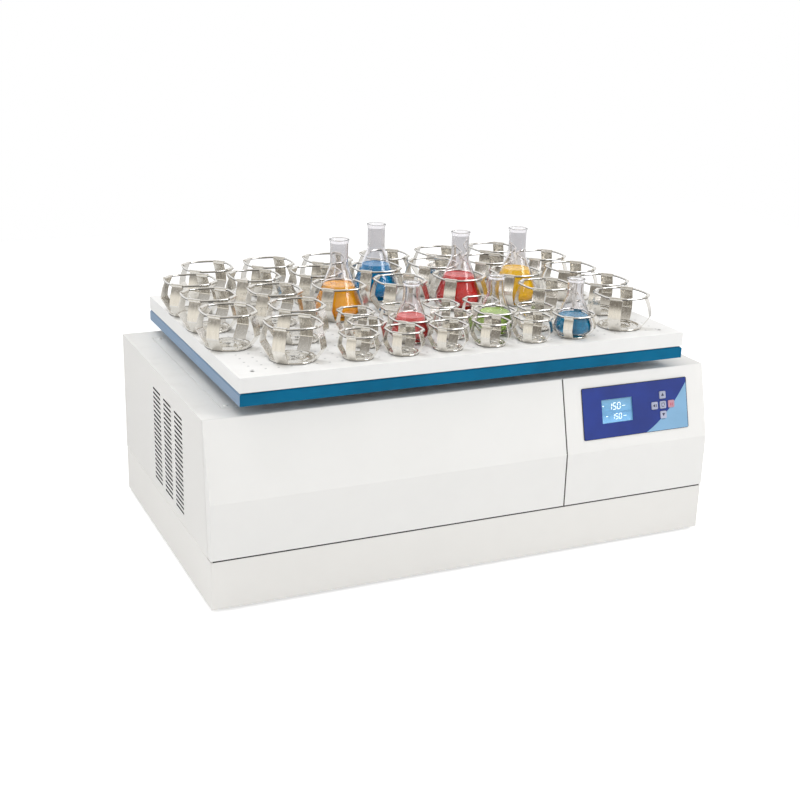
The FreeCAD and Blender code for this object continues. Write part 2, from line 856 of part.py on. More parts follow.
def small_places():
    """Three staggered rows of small clamps at the front of the tray."""
    def row(x0, y, count):
        return [(x0 + i * small_pitch_x, y) for i in range(count)]

    x2 = small_first_x + small_pitch_x / 2
    y1 = y_tray_front + small_front_inset
    y2 = y1 + small_step_y
    return {
        "small_clamps_front": row(small_first_x, y1, 6),
        "small_clamps_middle": row(x2, y2, 5),
        "small_clamps_rear": row(x2 + small_third_shift, y2 + small_third_step, 4),
    }


def small_flask_places():
    """Middle row, second and fourth clamp, and the right end of the front row."""
    small = small_places()
    return [small["small_clamps_middle"][1], small["small_clamps_middle"][3],
            small["small_clamps_front"][5]]


def clamp_leg(base_radius, bulge_radius, ring_radius, ring_height, width):
    """Spring strip that leaves the base, bellies out and leans in to the ring."""
    t = clamp_sheet
    end = ring_radius + wire / 2
    spine = [(base_radius - leg_foot_inset, clamp_plate),
             (bulge_radius - low_bend_inset, low_bend_share * ring_height),
             (bulge_radius - t, high_bend_share * ring_height), (end, ring_height)]
    outer = [(r + t, z) for r, z in reversed(spine)]
    points = [Vector(r, -width / 2, z) for r, z in spine + outer]
    return prism(points, Vector(0, width, 0))


def flask_clamp(base_radius, bulge_radius, ring_radius, ring_height, width):
    """Round pressed base with four spring legs on the diagonals."""
    clamp = Part.makeCone(base_radius - base_taper, base_radius, clamp_plate)
    leg = clamp_leg(base_radius, bulge_radius, ring_radius, ring_height, width)
    for i in range(4):
        turned_leg = leg.copy()
        turned_leg.rotate(Vector(0, 0, 0), Vector(0, 0, 1), 45 + 90 * i)
        clamp = clamp.fuse(turned_leg)
    return clamp


def clamp_ring(ring_radius, ring_height, leg_width):
    """Spring wire around the leg tops, straight at each leg and bowed between legs."""
    def loop(shift):
        corner = math.hypot(ring_radius, leg_width / 2) + shift
        lean = math.degrees(math.atan2(leg_width / 2, ring_radius))
        points = []
        bow = ring_radius + ring_bow + shift
        for i in range(4):
            for radius, angle in ((corner, 45 - lean), (corner, 45 + lean), (bow, 90)):
                a = math.radians(angle + 90 * i)
                points.append((radius * math.cos(a), radius * math.sin(a)))
        return points

    z0 = ring_height - wire
    outer = plan_prism(loop(wire / 2), z0, ring_height)
    return outer.cut(plan_prism(loop(-wire / 2), z0, ring_height))


def placed(shape, places, spread_shape=None):
    """Copies of a shape at places on the tray, of the spread shape where a small flask stands."""
    copies = []
    for x, y in places:
        flask_here = spread_shape and (x, y) in small_flask_places()
        copy = (spread_shape if flask_here else shape).copy()
        copy.translate(Vector(x, y, z_tray))
        copies.append(copy)
    return copies


def all_places(groups):
    return [place for group in groups.values() for place in group]


def clamp_screws(places):
    """Low hexagon heads in the middle of each clamp base."""
    corners = [math.radians(60 * i) for i in range(6)]
    outline = [(clamp_screw_radius * math.cos(a), clamp_screw_radius * math.sin(a)) for a in corners]
    return placed(plan_prism(outline, clamp_plate, clamp_plate + clamp_screw_head), places)


# Flasks

def round_ring(shape, ring_radius, z, fillet):
    """Fillet the round edge of the given radius and height."""
    def matches(edge):
        curve = edge.Curve
        return (hasattr(curve, "Center") and abs(curve.Radius - ring_radius) < tolerance
                and abs(curve.Center.z - z) < tolerance)

    return shape.makeFillet(fillet, [edge for edge in shape.Edges if matches(edge)])


def conical_flask(radius, height, neck_radius, heel):
    """Conical flask: round heel at the widest place, cone, soft shoulder, straight neck, flared rim."""
    w = flask_wall
    taper = math.radians(flask_taper)
    slope = math.tan(taper)
    foot = radius + heel * (1 / math.tan(math.pi / 4 - taper / 2) - 1)
    foot_inside = foot - w * slope - w / math.cos(taper)
    mouth = neck_radius - w
    shoulder = (foot - neck_radius) / slope
    shoulder_inside = w + (foot_inside - mouth) / slope
    rim = neck_radius + flask_rim
    outline = [(0, 0), (foot, 0), (neck_radius, shoulder), (neck_radius, height - flask_rim_height),
               (rim, height - flask_lip_height), (rim, height), (mouth, height),
               (mouth, shoulder_inside), (foot_inside, w), (0, w)]
    flask = turned(outline)
    flask = round_ring(flask, foot, 0, heel)
    flask = round_ring(flask, foot_inside, w, heel - w)
    flask = round_ring(flask, neck_radius, shoulder, flask_shoulder)
    return round_ring(flask, mouth, shoulder_inside, flask_shoulder + w)


def flasks():
    """Seven flasks, each in the clamp where it stands."""
    large = large_places()
    small = small_flask_places()
    big = conical_flask(large_flask_radius, large_flask_height, large_neck_radius, large_flask_heel)
    little = conical_flask(small_flask_radius, small_flask_height, small_neck_radius, small_flask_heel)
    seats = {
        "flask_orange": (big, large["large_clamps_middle"][2]),
        "flask_blue": (big, large["large_clamps_rear"][3]),
        "flask_red": (big, large["large_clamps_middle"][4]),
        "flask_yellow": (big, large["large_clamps_middle"][5]),
        "flask_small_red": (little, small[0]),
        "flask_small_green": (little, small[1]),
        "flask_small_blue": (little, small[2]),
    }
    z = z_tray + clamp_plate + clamp_screw_head + flask_seat_gap
    result = {}
    for name, (shape, (x, y)) in seats.items():
        copy = shape.copy()
        copy.translate(Vector(x, y, z))
        result[name] = copy
    return result


def write_housing():
    save("base_pan", base_pan())
    save("levelling_feet", *feet())
    save("housing_shell", housing_shell())
    save("deck_cover", deck_cover())
    save("deck_screws", *deck_screws())
    save("pin_seals", *pin_seals())
    save("fascia_main", fascia_main())
    save("fascia_control", fascia_control())
    save("control_overlay", control_overlay())
    save("display_window", display_window())
    save("display_module", display_module())
    save("control_board", control_board())
    for name, (x, up) in key_places().items():
        save(name, key(x, up))
    save("mains_inlet", mains_inlet())
    save("switch_frame", switch_frame())
    save("power_rocker", power_rocker())
    save("drive_controller", drive_controller())


def write_drive():
    save("mechanism_plate", mechanism_plate())
    save("support_columns", *support_columns())
    save("main_bearing_housing",
         bearing_housing(0, y_axis, main_housing_radius, main_flange_radius, main_bearing_radius))
    save("main_bearings",
         *bearing_pair(0, y_axis, main_bearing_radius, shaft_radius, main_bearing_width))
    corners = crank_axes()[1:]
    save("idler_bearing_housings",
         *[bearing_housing(x, y, idler_housing_radius, idler_flange_radius, idler_bearing_radius)
           for x, y in corners])
    idler_rings = []
    for x, y in corners:
        idler_rings += bearing_pair(x, y, idler_bearing_radius, idler_shaft_radius, idler_bearing_width)
    save("idler_bearings", *idler_rings)
    names = ("front_left", "rear_left", "front_right", "rear_right")
    for name, (x, y) in zip(names, corners):
        save("idler_crank_" + name, idler_crank(x, y))
    save("drive_shaft", drive_shaft())
    save("drive_pulley", drive_pulley())
    save("counterweight", counterweight())
    save("motor_body", motor_body())
    save("motor_bracket", motor_bracket())
    save("motor_shaft", motor_shaft())
    save("motor_pulley", motor_pulley())
    save("drive_belt", drive_belt())


def write_tray():
    save("carrier_frame", carrier_frame())
    save("tray_bearings", *tray_bearings())
    save("edge_rails", *edge_rails())
    save("tray_plate", tray_plate())
    large = flask_clamp(large_base_radius, large_bulge_radius, large_ring_radius, large_ring_height,
                        large_leg_width)
    small, small_open = [
        flask_clamp(small_base_radius, small_bulge_radius + spread, small_ring_radius + spread,
                    small_ring_height, small_leg_width) for spread in (0, small_spread)]
    for name, places in large_places().items():
        save(name, *placed(large, places))
    for name, places in small_places().items():
        save(name, *placed(small, places, small_open))
    large_ring = clamp_ring(large_ring_radius, large_ring_height, large_leg_width)
    small_ring, open_ring = [clamp_ring(small_ring_radius + spread, small_ring_height, small_leg_width)
                             for spread in (0, small_spread)]
    save("clamp_rings", *placed(large_ring, all_places(large_places())),
         *placed(small_ring, all_places(small_places()), open_ring))
    save("clamp_screws", *clamp_screws(all_places(large_places()) + all_places(small_places())))
    for name, shape in flasks().items():
        save(name, shape)


os.makedirs("parts", exist_ok=True)
write_housing()
write_drive()
write_tray()
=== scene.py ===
import math

import bmesh
import bpy
from mathutils import Matrix, Vector


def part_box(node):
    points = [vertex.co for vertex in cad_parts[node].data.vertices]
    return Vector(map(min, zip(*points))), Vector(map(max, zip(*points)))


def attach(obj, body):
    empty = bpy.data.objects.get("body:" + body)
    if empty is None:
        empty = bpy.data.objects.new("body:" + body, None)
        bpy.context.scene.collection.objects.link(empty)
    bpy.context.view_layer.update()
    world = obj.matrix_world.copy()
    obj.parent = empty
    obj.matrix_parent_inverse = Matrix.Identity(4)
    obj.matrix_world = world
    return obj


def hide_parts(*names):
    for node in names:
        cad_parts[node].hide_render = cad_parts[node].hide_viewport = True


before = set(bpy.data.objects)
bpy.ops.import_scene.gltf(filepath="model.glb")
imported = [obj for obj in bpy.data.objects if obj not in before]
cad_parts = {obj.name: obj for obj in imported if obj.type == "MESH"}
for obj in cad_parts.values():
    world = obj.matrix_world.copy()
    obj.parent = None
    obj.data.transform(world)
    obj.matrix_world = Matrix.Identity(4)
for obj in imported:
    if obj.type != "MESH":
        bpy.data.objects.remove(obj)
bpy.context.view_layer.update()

# Sizes in metres. What a solid of the frame carries takes its place from that solid.

# Front and seams
SLOPE_RISE = 0.143
SLOPE_RUN = 0.037
PANEL_LEAN = math.atan2(SLOPE_RISE, SLOPE_RUN)
SLOPE_LENGTH = math.hypot(SLOPE_RISE, SLOPE_RUN)
CREASE_HEIGHT = 0.207
SEAM = (0.099, 0.102)
SPLIT_X = 0.1935
SPLIT_GAP = 0.0015
SEAM_STRIP_THICKNESS = 0.0010
STRIP_SETBACK = 0.0012
STRIP_END_GAP = 0.010
# Setbacks of the dark strips that paint shade in the seam and the split
SEAM_SHADE_SETBACK = 0.0018
SPLIT_SHADE_SETBACK = 0.0014

# Clamps. FOLD, SHOULDER_HEIGHT and SHOULDER_ROUNDING are shares of a clamp's height, and
# SHOULDER_LEAN is a share of the way in from the belly to the top.
LARGE_CLAMP = {"base": 0.044, "ring_step": 0.0085, "leg": 0.025, "curl": 0.0034}
SMALL_CLAMP = {"base": 0.029, "ring_step": 0.0030, "leg": 0.018, "curl": 0.0030}
STRIP_THICKNESS = 0.0012
WIRE_RADIUS = 0.0022
RING_FLATTENING = 0.0015
FOLD = 0.38
SHOULDER_HEIGHT = 0.66
SHOULDER_LEAN = 0.22
SHOULDER_ROUNDING = 0.16
FOOT_INSET = 0.0025
FOOT_LENGTH = 0.004
FOOT_LEVEL = 0.0012
CURL_TURN = math.radians(275)
CURL_STEPS = 12
DISH_RIM = 0.0052

# Flasks. FILL is the share of a flask's height that the liquid reaches.
GLASS_WALL = 0.0018
LIQUID_GAP = 0.0003
TALL_FLASK = 0.13
FLASK_TAPER = math.radians(21.3)
FLASK_SHOULDER = 0.040
LARGE_FLASK = {"neck": 0.0180, "heel": 0.020}
SMALL_FLASK = {"neck": 0.0155, "heel": 0.017}
FILL = {"flask_orange": 0.41, "flask_blue": 0.45, "flask_red": 0.42, "flask_yellow": 0.45,
        "flask_small_red": 0.41, "flask_small_green": 0.35, "flask_small_blue": 0.34}

# Perforations of the tray
HOLE_PITCH = 0.024
HOLE_RADIUS = 0.0026
HOLE_MARGIN = 0.022
HOLE_DEPTH = 0.0005

# Printed film, display and switch. FIGURE_PITCH and FIGURE_WIDTH are shares of a figure's height,
# SEGMENT_WIDTH is for a figure of FIGURE_HEIGHT, and SEGMENT_GAP is a share of that width.
CURVE_START = 0.374
CURVE_FOOT = 0.0228
CURVE_SLOPE = 0.46
CURVE_BEND = 4.3
LCD_MARGIN = 0.005
LCD_CELL = 0.0006
DIGIT_SLANT = 0.10
FIGURE_PITCH = 0.80
FIGURE_WIDTH = 0.52
FIGURE_HEIGHT = 0.012
SEGMENT_WIDTH = 0.0011
SEGMENT_GAP = 0.35
PRINT_THICKNESS = 0.00008
FILM_EDGE = 0.0012
ROCKER_PIVOT = (-0.322, 0.3015, 0.054)
ROCKER_DEPTH = 0.004
ROCKER_ANGLE = math.radians(9)

# Tones that finishes lay over their own colour
DUST_ON_COAT = (0.55, 0.53, 0.49, 1.0)
DUST_ON_PLASTIC = (0.42, 0.41, 0.38, 1.0)
# Painted shade seen in the tray's drawn holes
HOLE_SHADE_TONE = (0.20, 0.20, 0.21, 1.0)
HOLE_SHADE_SHARE = 0.50
# Painted shade for the insides of the air slots
SLOT_SHADE_TONE = (0.012, 0.012, 0.012, 1.0)
FILM_EDGE_TONE = (0.012, 0.020, 0.055, 1.0)

# Light of the studio, as shares of full white, and the point that the lamps face
SURROUND = 0.50
FLOOR_GLOW = 0.54
LAMP_AIM = (0, 0, 0.3)

# Faces of the housing and the tray, and the field of air slots in the side walls
FRONT_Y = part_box("base_pan")[0].y
BACK_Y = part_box("base_pan")[1].y
WALL_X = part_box("base_pan")[1].x
LOUVRES_ALONG = (-0.150, 0.058)
LOUVRES_UP = (0.118, 0.316)
SIDE_SHEET_REACH = 0.010
TRAY_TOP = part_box("tray_plate")[1].z


# Places read from the frame

def solids_of(node):
    """Lowest and highest corners of each separate solid of a CAD node."""
    bm = bmesh.new()
    bm.from_mesh(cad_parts[node].data)
    bmesh.ops.remove_doubles(bm, verts=bm.verts, dist=1e-6)
    corners = []
    seen = set()
    for first in bm.verts:
        if first in seen:
            continue
        seen.add(first)
        island, reach = [first], [first]
        while reach:
            for edge in reach.pop().link_edges:
                for vert in edge.verts:
                    if vert not in seen:
                        seen.add(vert)
                        island.append(vert)
                        reach.append(vert)
        low = Vector(min(v.co[i] for v in island) for i in range(3))
        high = Vector(max(v.co[i] for v in island) for i in range(3))
        corners.append((low, high))
    bm.free()
    return corners


def clamps_of(node, clamp):
    """Seat and full sizes of each clamp of a node. The belly follows from the solid's width."""
    found = []
    for low, high in solids_of(node):
        seat = Vector(((low.x + high.x) / 2, (low.y + high.y) / 2, TRAY_TOP))
        belly = (high.x - low.x) / math.sqrt(2) - clamp["leg"] / 2
        sizes = dict(clamp, belly=round(belly, 4), height=round(high.z - TRAY_TOP, 4))
        sizes["ring"] = sizes["belly"] - clamp["ring_step"]
        found.append((seat, sizes))
    return found


PANEL = Matrix.Translation((0, FRONT_Y, CREASE_HEIGHT)) @ Matrix.Rotation(PANEL_LEAN, 4, "X")


def on_panel(node):
    """Lowest and highest corners of a node in the panel's own axes: right, up the slope, outwards."""
    back = PANEL.inverted()
    points = [back @ vert.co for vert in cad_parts[node].data.vertices]
    low = Vector(min(p[i] for p in points) for i in range(3))
    high = Vector(max(p[i] for p in points) for i in range(3))
    return low, high


# Node helpers

def node(tree, kind, inputs=None, **settings):
    """Shader node with its settings, its plain inputs set and its socket inputs linked."""
    made = tree.nodes.new("ShaderNode" + kind)
    for key, value in settings.items():
        setattr(made, key, value)
    for key, value in (inputs or {}).items():
        if isinstance(value, bpy.types.NodeSocket):
            tree.links.new(value, made.inputs[key])
        else:
            made.inputs[key].default_value = value
    return made


def math_of(tree, operation, first, second=0.0, clamp=False):
    """Result of one Math node."""
    made = node(tree, "Math", {0: first, 1: second}, operation=operation)
    made.use_clamp = clamp
    return made.outputs[0]


def ramp(tree, value, low, high, to_low=0.0, to_high=1.0):
    """Value spread from one range to another, smoothly and clamped."""
    made = node(tree, "MapRange", {"Value": value, "From Min": low, "From Max": high,
                                   "To Min": to_low, "To Max": to_high})
    made.interpolation_type = "SMOOTHSTEP"
    return made.outputs["Result"]


def blend_colours(tree, share, first, second):
    """Mix of two colours, all of the second where the share is 1."""
    made = tree.nodes.new("ShaderNodeMix")
    made.data_type = "RGBA"
    for socket, value in ((made.inputs[0], share), (made.inputs[6], first), (made.inputs[7], second)):
        if isinstance(value, bpy.types.NodeSocket):
            tree.links.new(value, socket)
        else:
            socket.default_value = value
    return made.outputs[2]


def shade(colour, factor):
    """Colour made darker or lighter by a factor."""
    return tuple(c * factor for c in colour[:3]) + (1.0,)


def effect(name, inputs, outputs):
    """New shader group, as its tree, number inputs, number outputs and the object's own coordinates."""
    tree = bpy.data.node_groups.new(name, "ShaderNodeTree")
    for label, value in inputs.items():
        socket = tree.interface.new_socket(label, in_out="INPUT", socket_type="NodeSocketFloat")
        socket.default_value = value
    for label in outputs:
        tree.interface.new_socket(label, in_out="OUTPUT", socket_type="NodeSocketFloat")
    start = tree.nodes.new("NodeGroupInput")
    end = tree.nodes.new("NodeGroupOutput")
    place = node(tree, "TexCoord").outputs["Object"]
    return tree, start.outputs, end.inputs, place


def noise(tree, vector, scale, detail=3.0, roughness=0.5):
    """Value of a cloudy noise."""
    made = node(tree, "TexNoise", {"Vector": vector, "Scale": scale, "Detail": detail,
                                   "Roughness": roughness})
    return made.outputs[0]


# Effects that several finishes share

def make_paint_skin():
    """Orange peel of a powder coat, with broad uneven patches."""
    tree, given, out, place = effect("paint_skin", {"Grain": 700.0, "Patch": 7.0}, ("Height", "Patches"))
    fine = noise(tree, place, given["Grain"], 2.0)
    soft = noise(tree, place, math_of(tree, "MULTIPLY", given["Grain"], 0.22), 2.0)
    height = math_of(tree, "ADD", math_of(tree, "MULTIPLY", fine, 0.35),
                     math_of(tree, "MULTIPLY", soft, 0.65))
    tree.links.new(height, out["Height"])
    tree.links.new(ramp(tree, noise(tree, place, given["Patch"], 4.0, 0.6), 0.35, 0.65), out["Patches"])
    return tree


def make_settled_dust():
    """Thin dust that lies on faces that look up, in soft uneven drifts."""
    tree, given, out, place = effect("settled_dust", {"Amount": 0.3, "Scale": 22.0}, ("Mask",))
    normal = node(tree, "NewGeometry").outputs["Normal"]
    up = node(tree, "SeparateXYZ", {0: normal}).outputs["Z"]
    drift = ramp(tree, noise(tree, place, given["Scale"], 6.0, 0.62), 0.42, 0.72)
    lying = math_of(tree, "MULTIPLY", ramp(tree, up, 0.5, 0.95), drift)
    tree.links.new(math_of(tree, "MULTIPLY", lying, given["Amount"], True), out["Mask"])
    return tree


def make_fine_scratches():
    """Sparse hairline marks from wiping, in two crossing directions."""
    tree, given, out, place = effect("fine_scratches", {"Scale": 1.0, "Amount": 1.0}, ("Mask",))
    marks = None
    for turn, stretch in ((0.6, 9.0), (-0.9, 12.0)):
        lay = node(tree, "Mapping", {"Vector": place, "Rotation": (0.3, 0.2, turn)})
        lay.inputs["Scale"].default_value = (stretch, 330.0, 330.0)
        lines = node(tree, "TexNoise", {"Vector": lay.outputs[0], "Scale": given["Scale"], "Detail": 1.0})
        thin = ramp(tree, lines.outputs[0], 0.70, 0.76)
        marks = thin if marks is None else math_of(tree, "MAXIMUM", marks, thin)
    tree.links.new(math_of(tree, "MULTIPLY", marks, given["Amount"], True), out["Mask"])
    return tree


def make_brushed_lines():
    """Fine upright grain of rolled strip, with broader bands."""
    tree, given, out, place = effect("brushed_lines", {"Scale": 1.0}, ("Height", "Bands"))
    fine = node(tree, "Mapping", {"Vector": place})
    fine.inputs["Scale"].default_value = (2600.0, 2600.0, 60.0)
    broad = node(tree, "Mapping", {"Vector": place})
    broad.inputs["Scale"].default_value = (260.0, 260.0, 18.0)
    grain = node(tree, "TexNoise", {"Vector": fine.outputs[0], "Scale": given["Scale"], "Detail": 2.0})
    bands = node(tree, "TexNoise", {"Vector": broad.outputs[0], "Scale": given["Scale"], "Detail": 2.0})
    tree.links.new(grain.outputs[0], out["Height"])
    tree.links.new(ramp(tree, bands.outputs[0], 0.35, 0.65), out["Bands"])
    return tree


def make_machined_rings():
    """Fine turning marks: shallow steps stacked along the upright axis of a turned part."""
    tree, given, out, place = effect("machined_rings", {"Pitch": 0.0008}, ("Height", "Bands"))
    height = node(tree, "SeparateXYZ", {0: place}).outputs["Z"]
    turns = math_of(tree, "DIVIDE", height, given["Pitch"])
    wave = math_of(tree, "SINE", math_of(tree, "MULTIPLY", turns, 2 * math.pi))
    wander = noise(tree, place, 160.0, 3.0)
    tree.links.new(math_of(tree, "MULTIPLY", wave, wander), out["Height"])
    tree.links.new(wander, out["Bands"])
    return tree


def make_underside_shade():
    """Mask of painted shade: the share of a face that looks down, from 1 below to 0 above."""
    tree, given, out = effect("painted_underside_shade", {"Low": -0.1, "High": 0.4}, ("Mask",))[:3]
    up = node(tree, "SeparateXYZ", {0: node(tree, "NewGeometry").outputs["Normal"]}).outputs["Z"]
    tree.links.new(ramp(tree, up, given["Low"], given["High"], 1.0, 0.0), out["Mask"])
    return tree


SKIN = make_paint_skin()
DUST = make_settled_dust()
SCRATCH = make_fine_scratches()
BRUSHED = make_brushed_lines()
TURNED = make_machined_rings()
UNDERSIDE_SHADE = make_underside_shade()


def use(tree, group, **values):
    """Outputs of a shared effect, placed in a material with its own values."""
    made = tree.nodes.new("ShaderNodeGroup")
    made.node_tree = group
    for label, value in values.items():
        made.inputs[label].default_value = value
    return made.outputs


# Finishes

def finish_of(name, colour, roughness, metallic=0.0, **sockets):
    """New material with its tree and its Principled shader, on which the plain values are set."""
    material = bpy.data.materials.new(name)
    material.use_nodes = True
    tree = material.node_tree
    shader = tree.nodes["Principled BSDF"]
    shader.inputs["Base Color"].default_value = tuple(colour[:3]) + (1.0,)
    shader.inputs["Roughness"].default_value = roughness
    shader.inputs["Metallic"].default_value = metallic
    for label, value in sockets.items():
        shader.inputs[label.replace("_", " ")].default_value = value
    material.diffuse_color = tuple(colour[:3]) + (1.0,)
    return material, tree, shader


def bump(tree, shader, height, strength, distance):
    """Relief of a finish, from a height value."""
    made = node(tree, "Bump", {"Height": height, "Strength": strength, "Distance": distance})
    tree.links.new(made.outputs["Normal"], shader.inputs["Normal"])


def powder_coat(name, colour, roughness=0.42, dust=0.12, grain=700.0):
    """Satin powder coat with orange peel, faint patches, wiping marks and a little dust on top."""
    material, tree, shader = finish_of(name, colour, roughness, IOR=1.5)
    skin = use(tree, SKIN, Grain=grain)
    film = use(tree, DUST, Amount=dust)
    marks = use(tree, SCRATCH, Amount=0.35)
    tone = blend_colours(tree, skin["Patches"], shade(colour, 0.985), shade(colour, 1.0))
    tone = blend_colours(tree, film["Mask"], tone, DUST_ON_COAT)
    tree.links.new(tone, shader.inputs["Base Color"])
    rough = math_of(tree, "ADD", ramp(tree, skin["Patches"], 0, 1, roughness - 0.05, roughness + 0.05),
                    math_of(tree, "MULTIPLY", marks["Mask"], 0.12))
    tree.links.new(rough, shader.inputs["Roughness"])
    bump(tree, shader, skin["Height"], 0.10, 0.0004)
    return material, tree, shader, tone


def perforated_coat(name, colour):
    """The tray's powder coat, with its square grid of small punched holes drawn on the top face as discs
    of painted shade.
    """
    material, tree, shader, tone = powder_coat(name, colour, 0.45, 0.10)
    place = node(tree, "SeparateXYZ", {0: node(tree, "TexCoord").outputs["Object"]}).outputs
    squares = []
    for label in "XY":
        cell = math_of(tree, "FRACT", math_of(tree, "DIVIDE", place[label], HOLE_PITCH))
        across = math_of(tree, "MULTIPLY", math_of(tree, "SUBTRACT", cell, 0.5), HOLE_PITCH)
        squares.append(math_of(tree, "MULTIPLY", across, across))
    distance = math_of(tree, "SQRT", math_of(tree, "ADD", *squares))
    hole = ramp(tree, distance, HOLE_RADIUS * 0.75, HOLE_RADIUS, 1.0, 0.0)
    low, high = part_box("tray_plate")
    middle = (low + high) / 2
    half = (high - low) / 2
    for label, centre, reach in (("X", middle.x, half.x), ("Y", middle.y, half.y)):
        from_middle = math_of(tree, "ABSOLUTE", math_of(tree, "SUBTRACT", place[label], centre))
        inside = math_of(tree, "LESS_THAN", from_middle, reach - HOLE_MARGIN)
        hole = math_of(tree, "MULTIPLY", hole, inside)
    top = math_of(tree, "GREATER_THAN", place["Z"], high.z - HOLE_DEPTH)
    hole = math_of(tree, "MULTIPLY", hole, top)
    # Painted shade: each hole is drawn as a darkened disc.
    dark = math_of(tree, "MULTIPLY", hole, HOLE_SHADE_SHARE)
    tone = blend_colours(tree, dark, tone, HOLE_SHADE_TONE)
    tree.links.new(tone, shader.inputs["Base Color"])
    return material


def louvred_coat(name, colour):
    """The side walls' powder coat, with painted shade that darkens the walls inside the air slots."""
    material, tree, shader, tone = powder_coat(name, colour)
    place = node(tree, "SeparateXYZ", {0: node(tree, "TexCoord").outputs["Object"]}).outputs
    facing = node(tree, "SeparateXYZ", {0: node(tree, "NewGeometry").outputs["Normal"]}).outputs["X"]
    inside = math_of(tree, "LESS_THAN", math_of(tree, "ABSOLUTE", facing), 0.5)
    for label, low, high in (("Y", *LOUVRES_ALONG), ("Z", *LOUVRES_UP)):
        off = math_of(tree, "ABSOLUTE", math_of(tree, "SUBTRACT", place[label], (low + high) / 2))
        inside = math_of(tree, "MULTIPLY", inside, math_of(tree, "LESS_THAN", off, (high - low) / 2))
    sheet = math_of(tree, "GREATER_THAN", math_of(tree, "ABSOLUTE", place["X"]), WALL_X - SIDE_SHEET_REACH)
    inside = math_of(tree, "MULTIPLY", inside, sheet)
    # Painted shade: the walls inside the air slots are coloured near black.
    tone = blend_colours(tree, inside, tone, SLOT_SHADE_TONE)
    tree.links.new(tone, shader.inputs["Base Color"])
    return material


def sprung_steel(name, colour, roughness, bands=0.06, under=1.0, below=(-0.1, 0.4)):
    """Polished stainless strip with a fine grain, cloudy bands and wiping marks, and painted shade that
    darkens faces that look down.
    """
    material, tree, shader = finish_of(name, colour, roughness, 1.0)
    grain = use(tree, BRUSHED)
    marks = use(tree, SCRATCH, Amount=0.8)
    tone = blend_colours(tree, grain["Bands"], shade(colour, 0.93), shade(colour, 1.0))
    # Painted shade: faces that look down take the colour darkened by the factor under.
    lower = use(tree, UNDERSIDE_SHADE, Low=below[0], High=below[1])
    tone = blend_colours(tree, lower["Mask"], tone, shade(colour, under))
    tree.links.new(tone, shader.inputs["Base Color"])
    rough = math_of(tree, "ADD", ramp(tree, grain["Bands"], 0, 1, roughness - bands, roughness + bands),
                    math_of(tree, "MULTIPLY", marks["Mask"], 0.15))
    tree.links.new(rough, shader.inputs["Roughness"])
    bump(tree, shader, grain["Height"], 0.03, 0.0002)
    return material


def turned_metal(name, colour, roughness, pitch=0.0008):
    """Machined metal with turning marks and patches of a darker tone."""
    material, tree, shader = finish_of(name, colour, roughness, 1.0)
    cut = use(tree, TURNED, Pitch=pitch)
    tone = blend_colours(tree, cut["Bands"], shade(colour, 0.8), shade(colour, 1.05))
    tree.links.new(tone, shader.inputs["Base Color"])
    tree.links.new(ramp(tree, cut["Bands"], 0.3, 0.7, roughness - 0.06, roughness + 0.08),
                   shader.inputs["Roughness"])
    bump(tree, shader, cut["Height"], 0.12, 0.0002)
    return material


def moulded(name, colour, roughness, grain=1400.0, relief=0.16, dust=0.2):
    """Moulded plastic, rubber or cast surface: fine texture, faint patches, dust on top."""
    material, tree, shader = finish_of(name, colour, roughness)
    skin = use(tree, SKIN, Grain=grain, Patch=30.0)
    film = use(tree, DUST, Amount=dust, Scale=60.0)
    tone = blend_colours(tree, skin["Patches"], shade(colour, 0.88), shade(colour, 1.08))
    tone = blend_colours(tree, film["Mask"], tone, DUST_ON_PLASTIC)
    tree.links.new(tone, shader.inputs["Base Color"])
    tree.links.new(ramp(tree, skin["Patches"], 0, 1, roughness - 0.05, roughness + 0.07),
                   shader.inputs["Roughness"])
    bump(tree, shader, skin["Height"], relief, 0.0003)
    return material


def gloss_paint(name, colour):
    """Semi-gloss blue paint under a thin clear coat, lighter at its wiping marks, with a painted sheen
    that pales it seen aslant.
    """
    material, tree, shader = finish_of(name, colour, 0.40, IOR=1.18, Coat_Roughness=0.12)
    skin = use(tree, SKIN, Grain=420.0, Patch=5.0)
    marks = use(tree, SCRATCH, Amount=0.6)
    tone = blend_colours(tree, skin["Patches"], shade(colour, 0.88), shade(colour, 1.12))
    tone = blend_colours(tree, math_of(tree, "MULTIPLY", marks["Mask"], 0.25), tone, shade(colour, 1.9))
    # Painted sheen: the colour turns towards a pale grey-blue where the face is seen aslant.
    aside = node(tree, "LayerWeight", {"Blend": 0.5}).outputs["Facing"]
    painted_sheen = ramp(tree, aside, 0.30, 0.70, 0.0, 0.65)
    tone = blend_colours(tree, painted_sheen, tone, (0.36, 0.45, 0.60, 1.0))
    tree.links.new(tone, shader.inputs["Base Color"])
    shader.inputs["Coat Weight"].default_value = 0.08
    tree.links.new(ramp(tree, skin["Patches"], 0, 1, 0.36, 0.46), shader.inputs["Roughness"])
    bump(tree, shader, skin["Height"], 0.08, 0.0004)
    return material


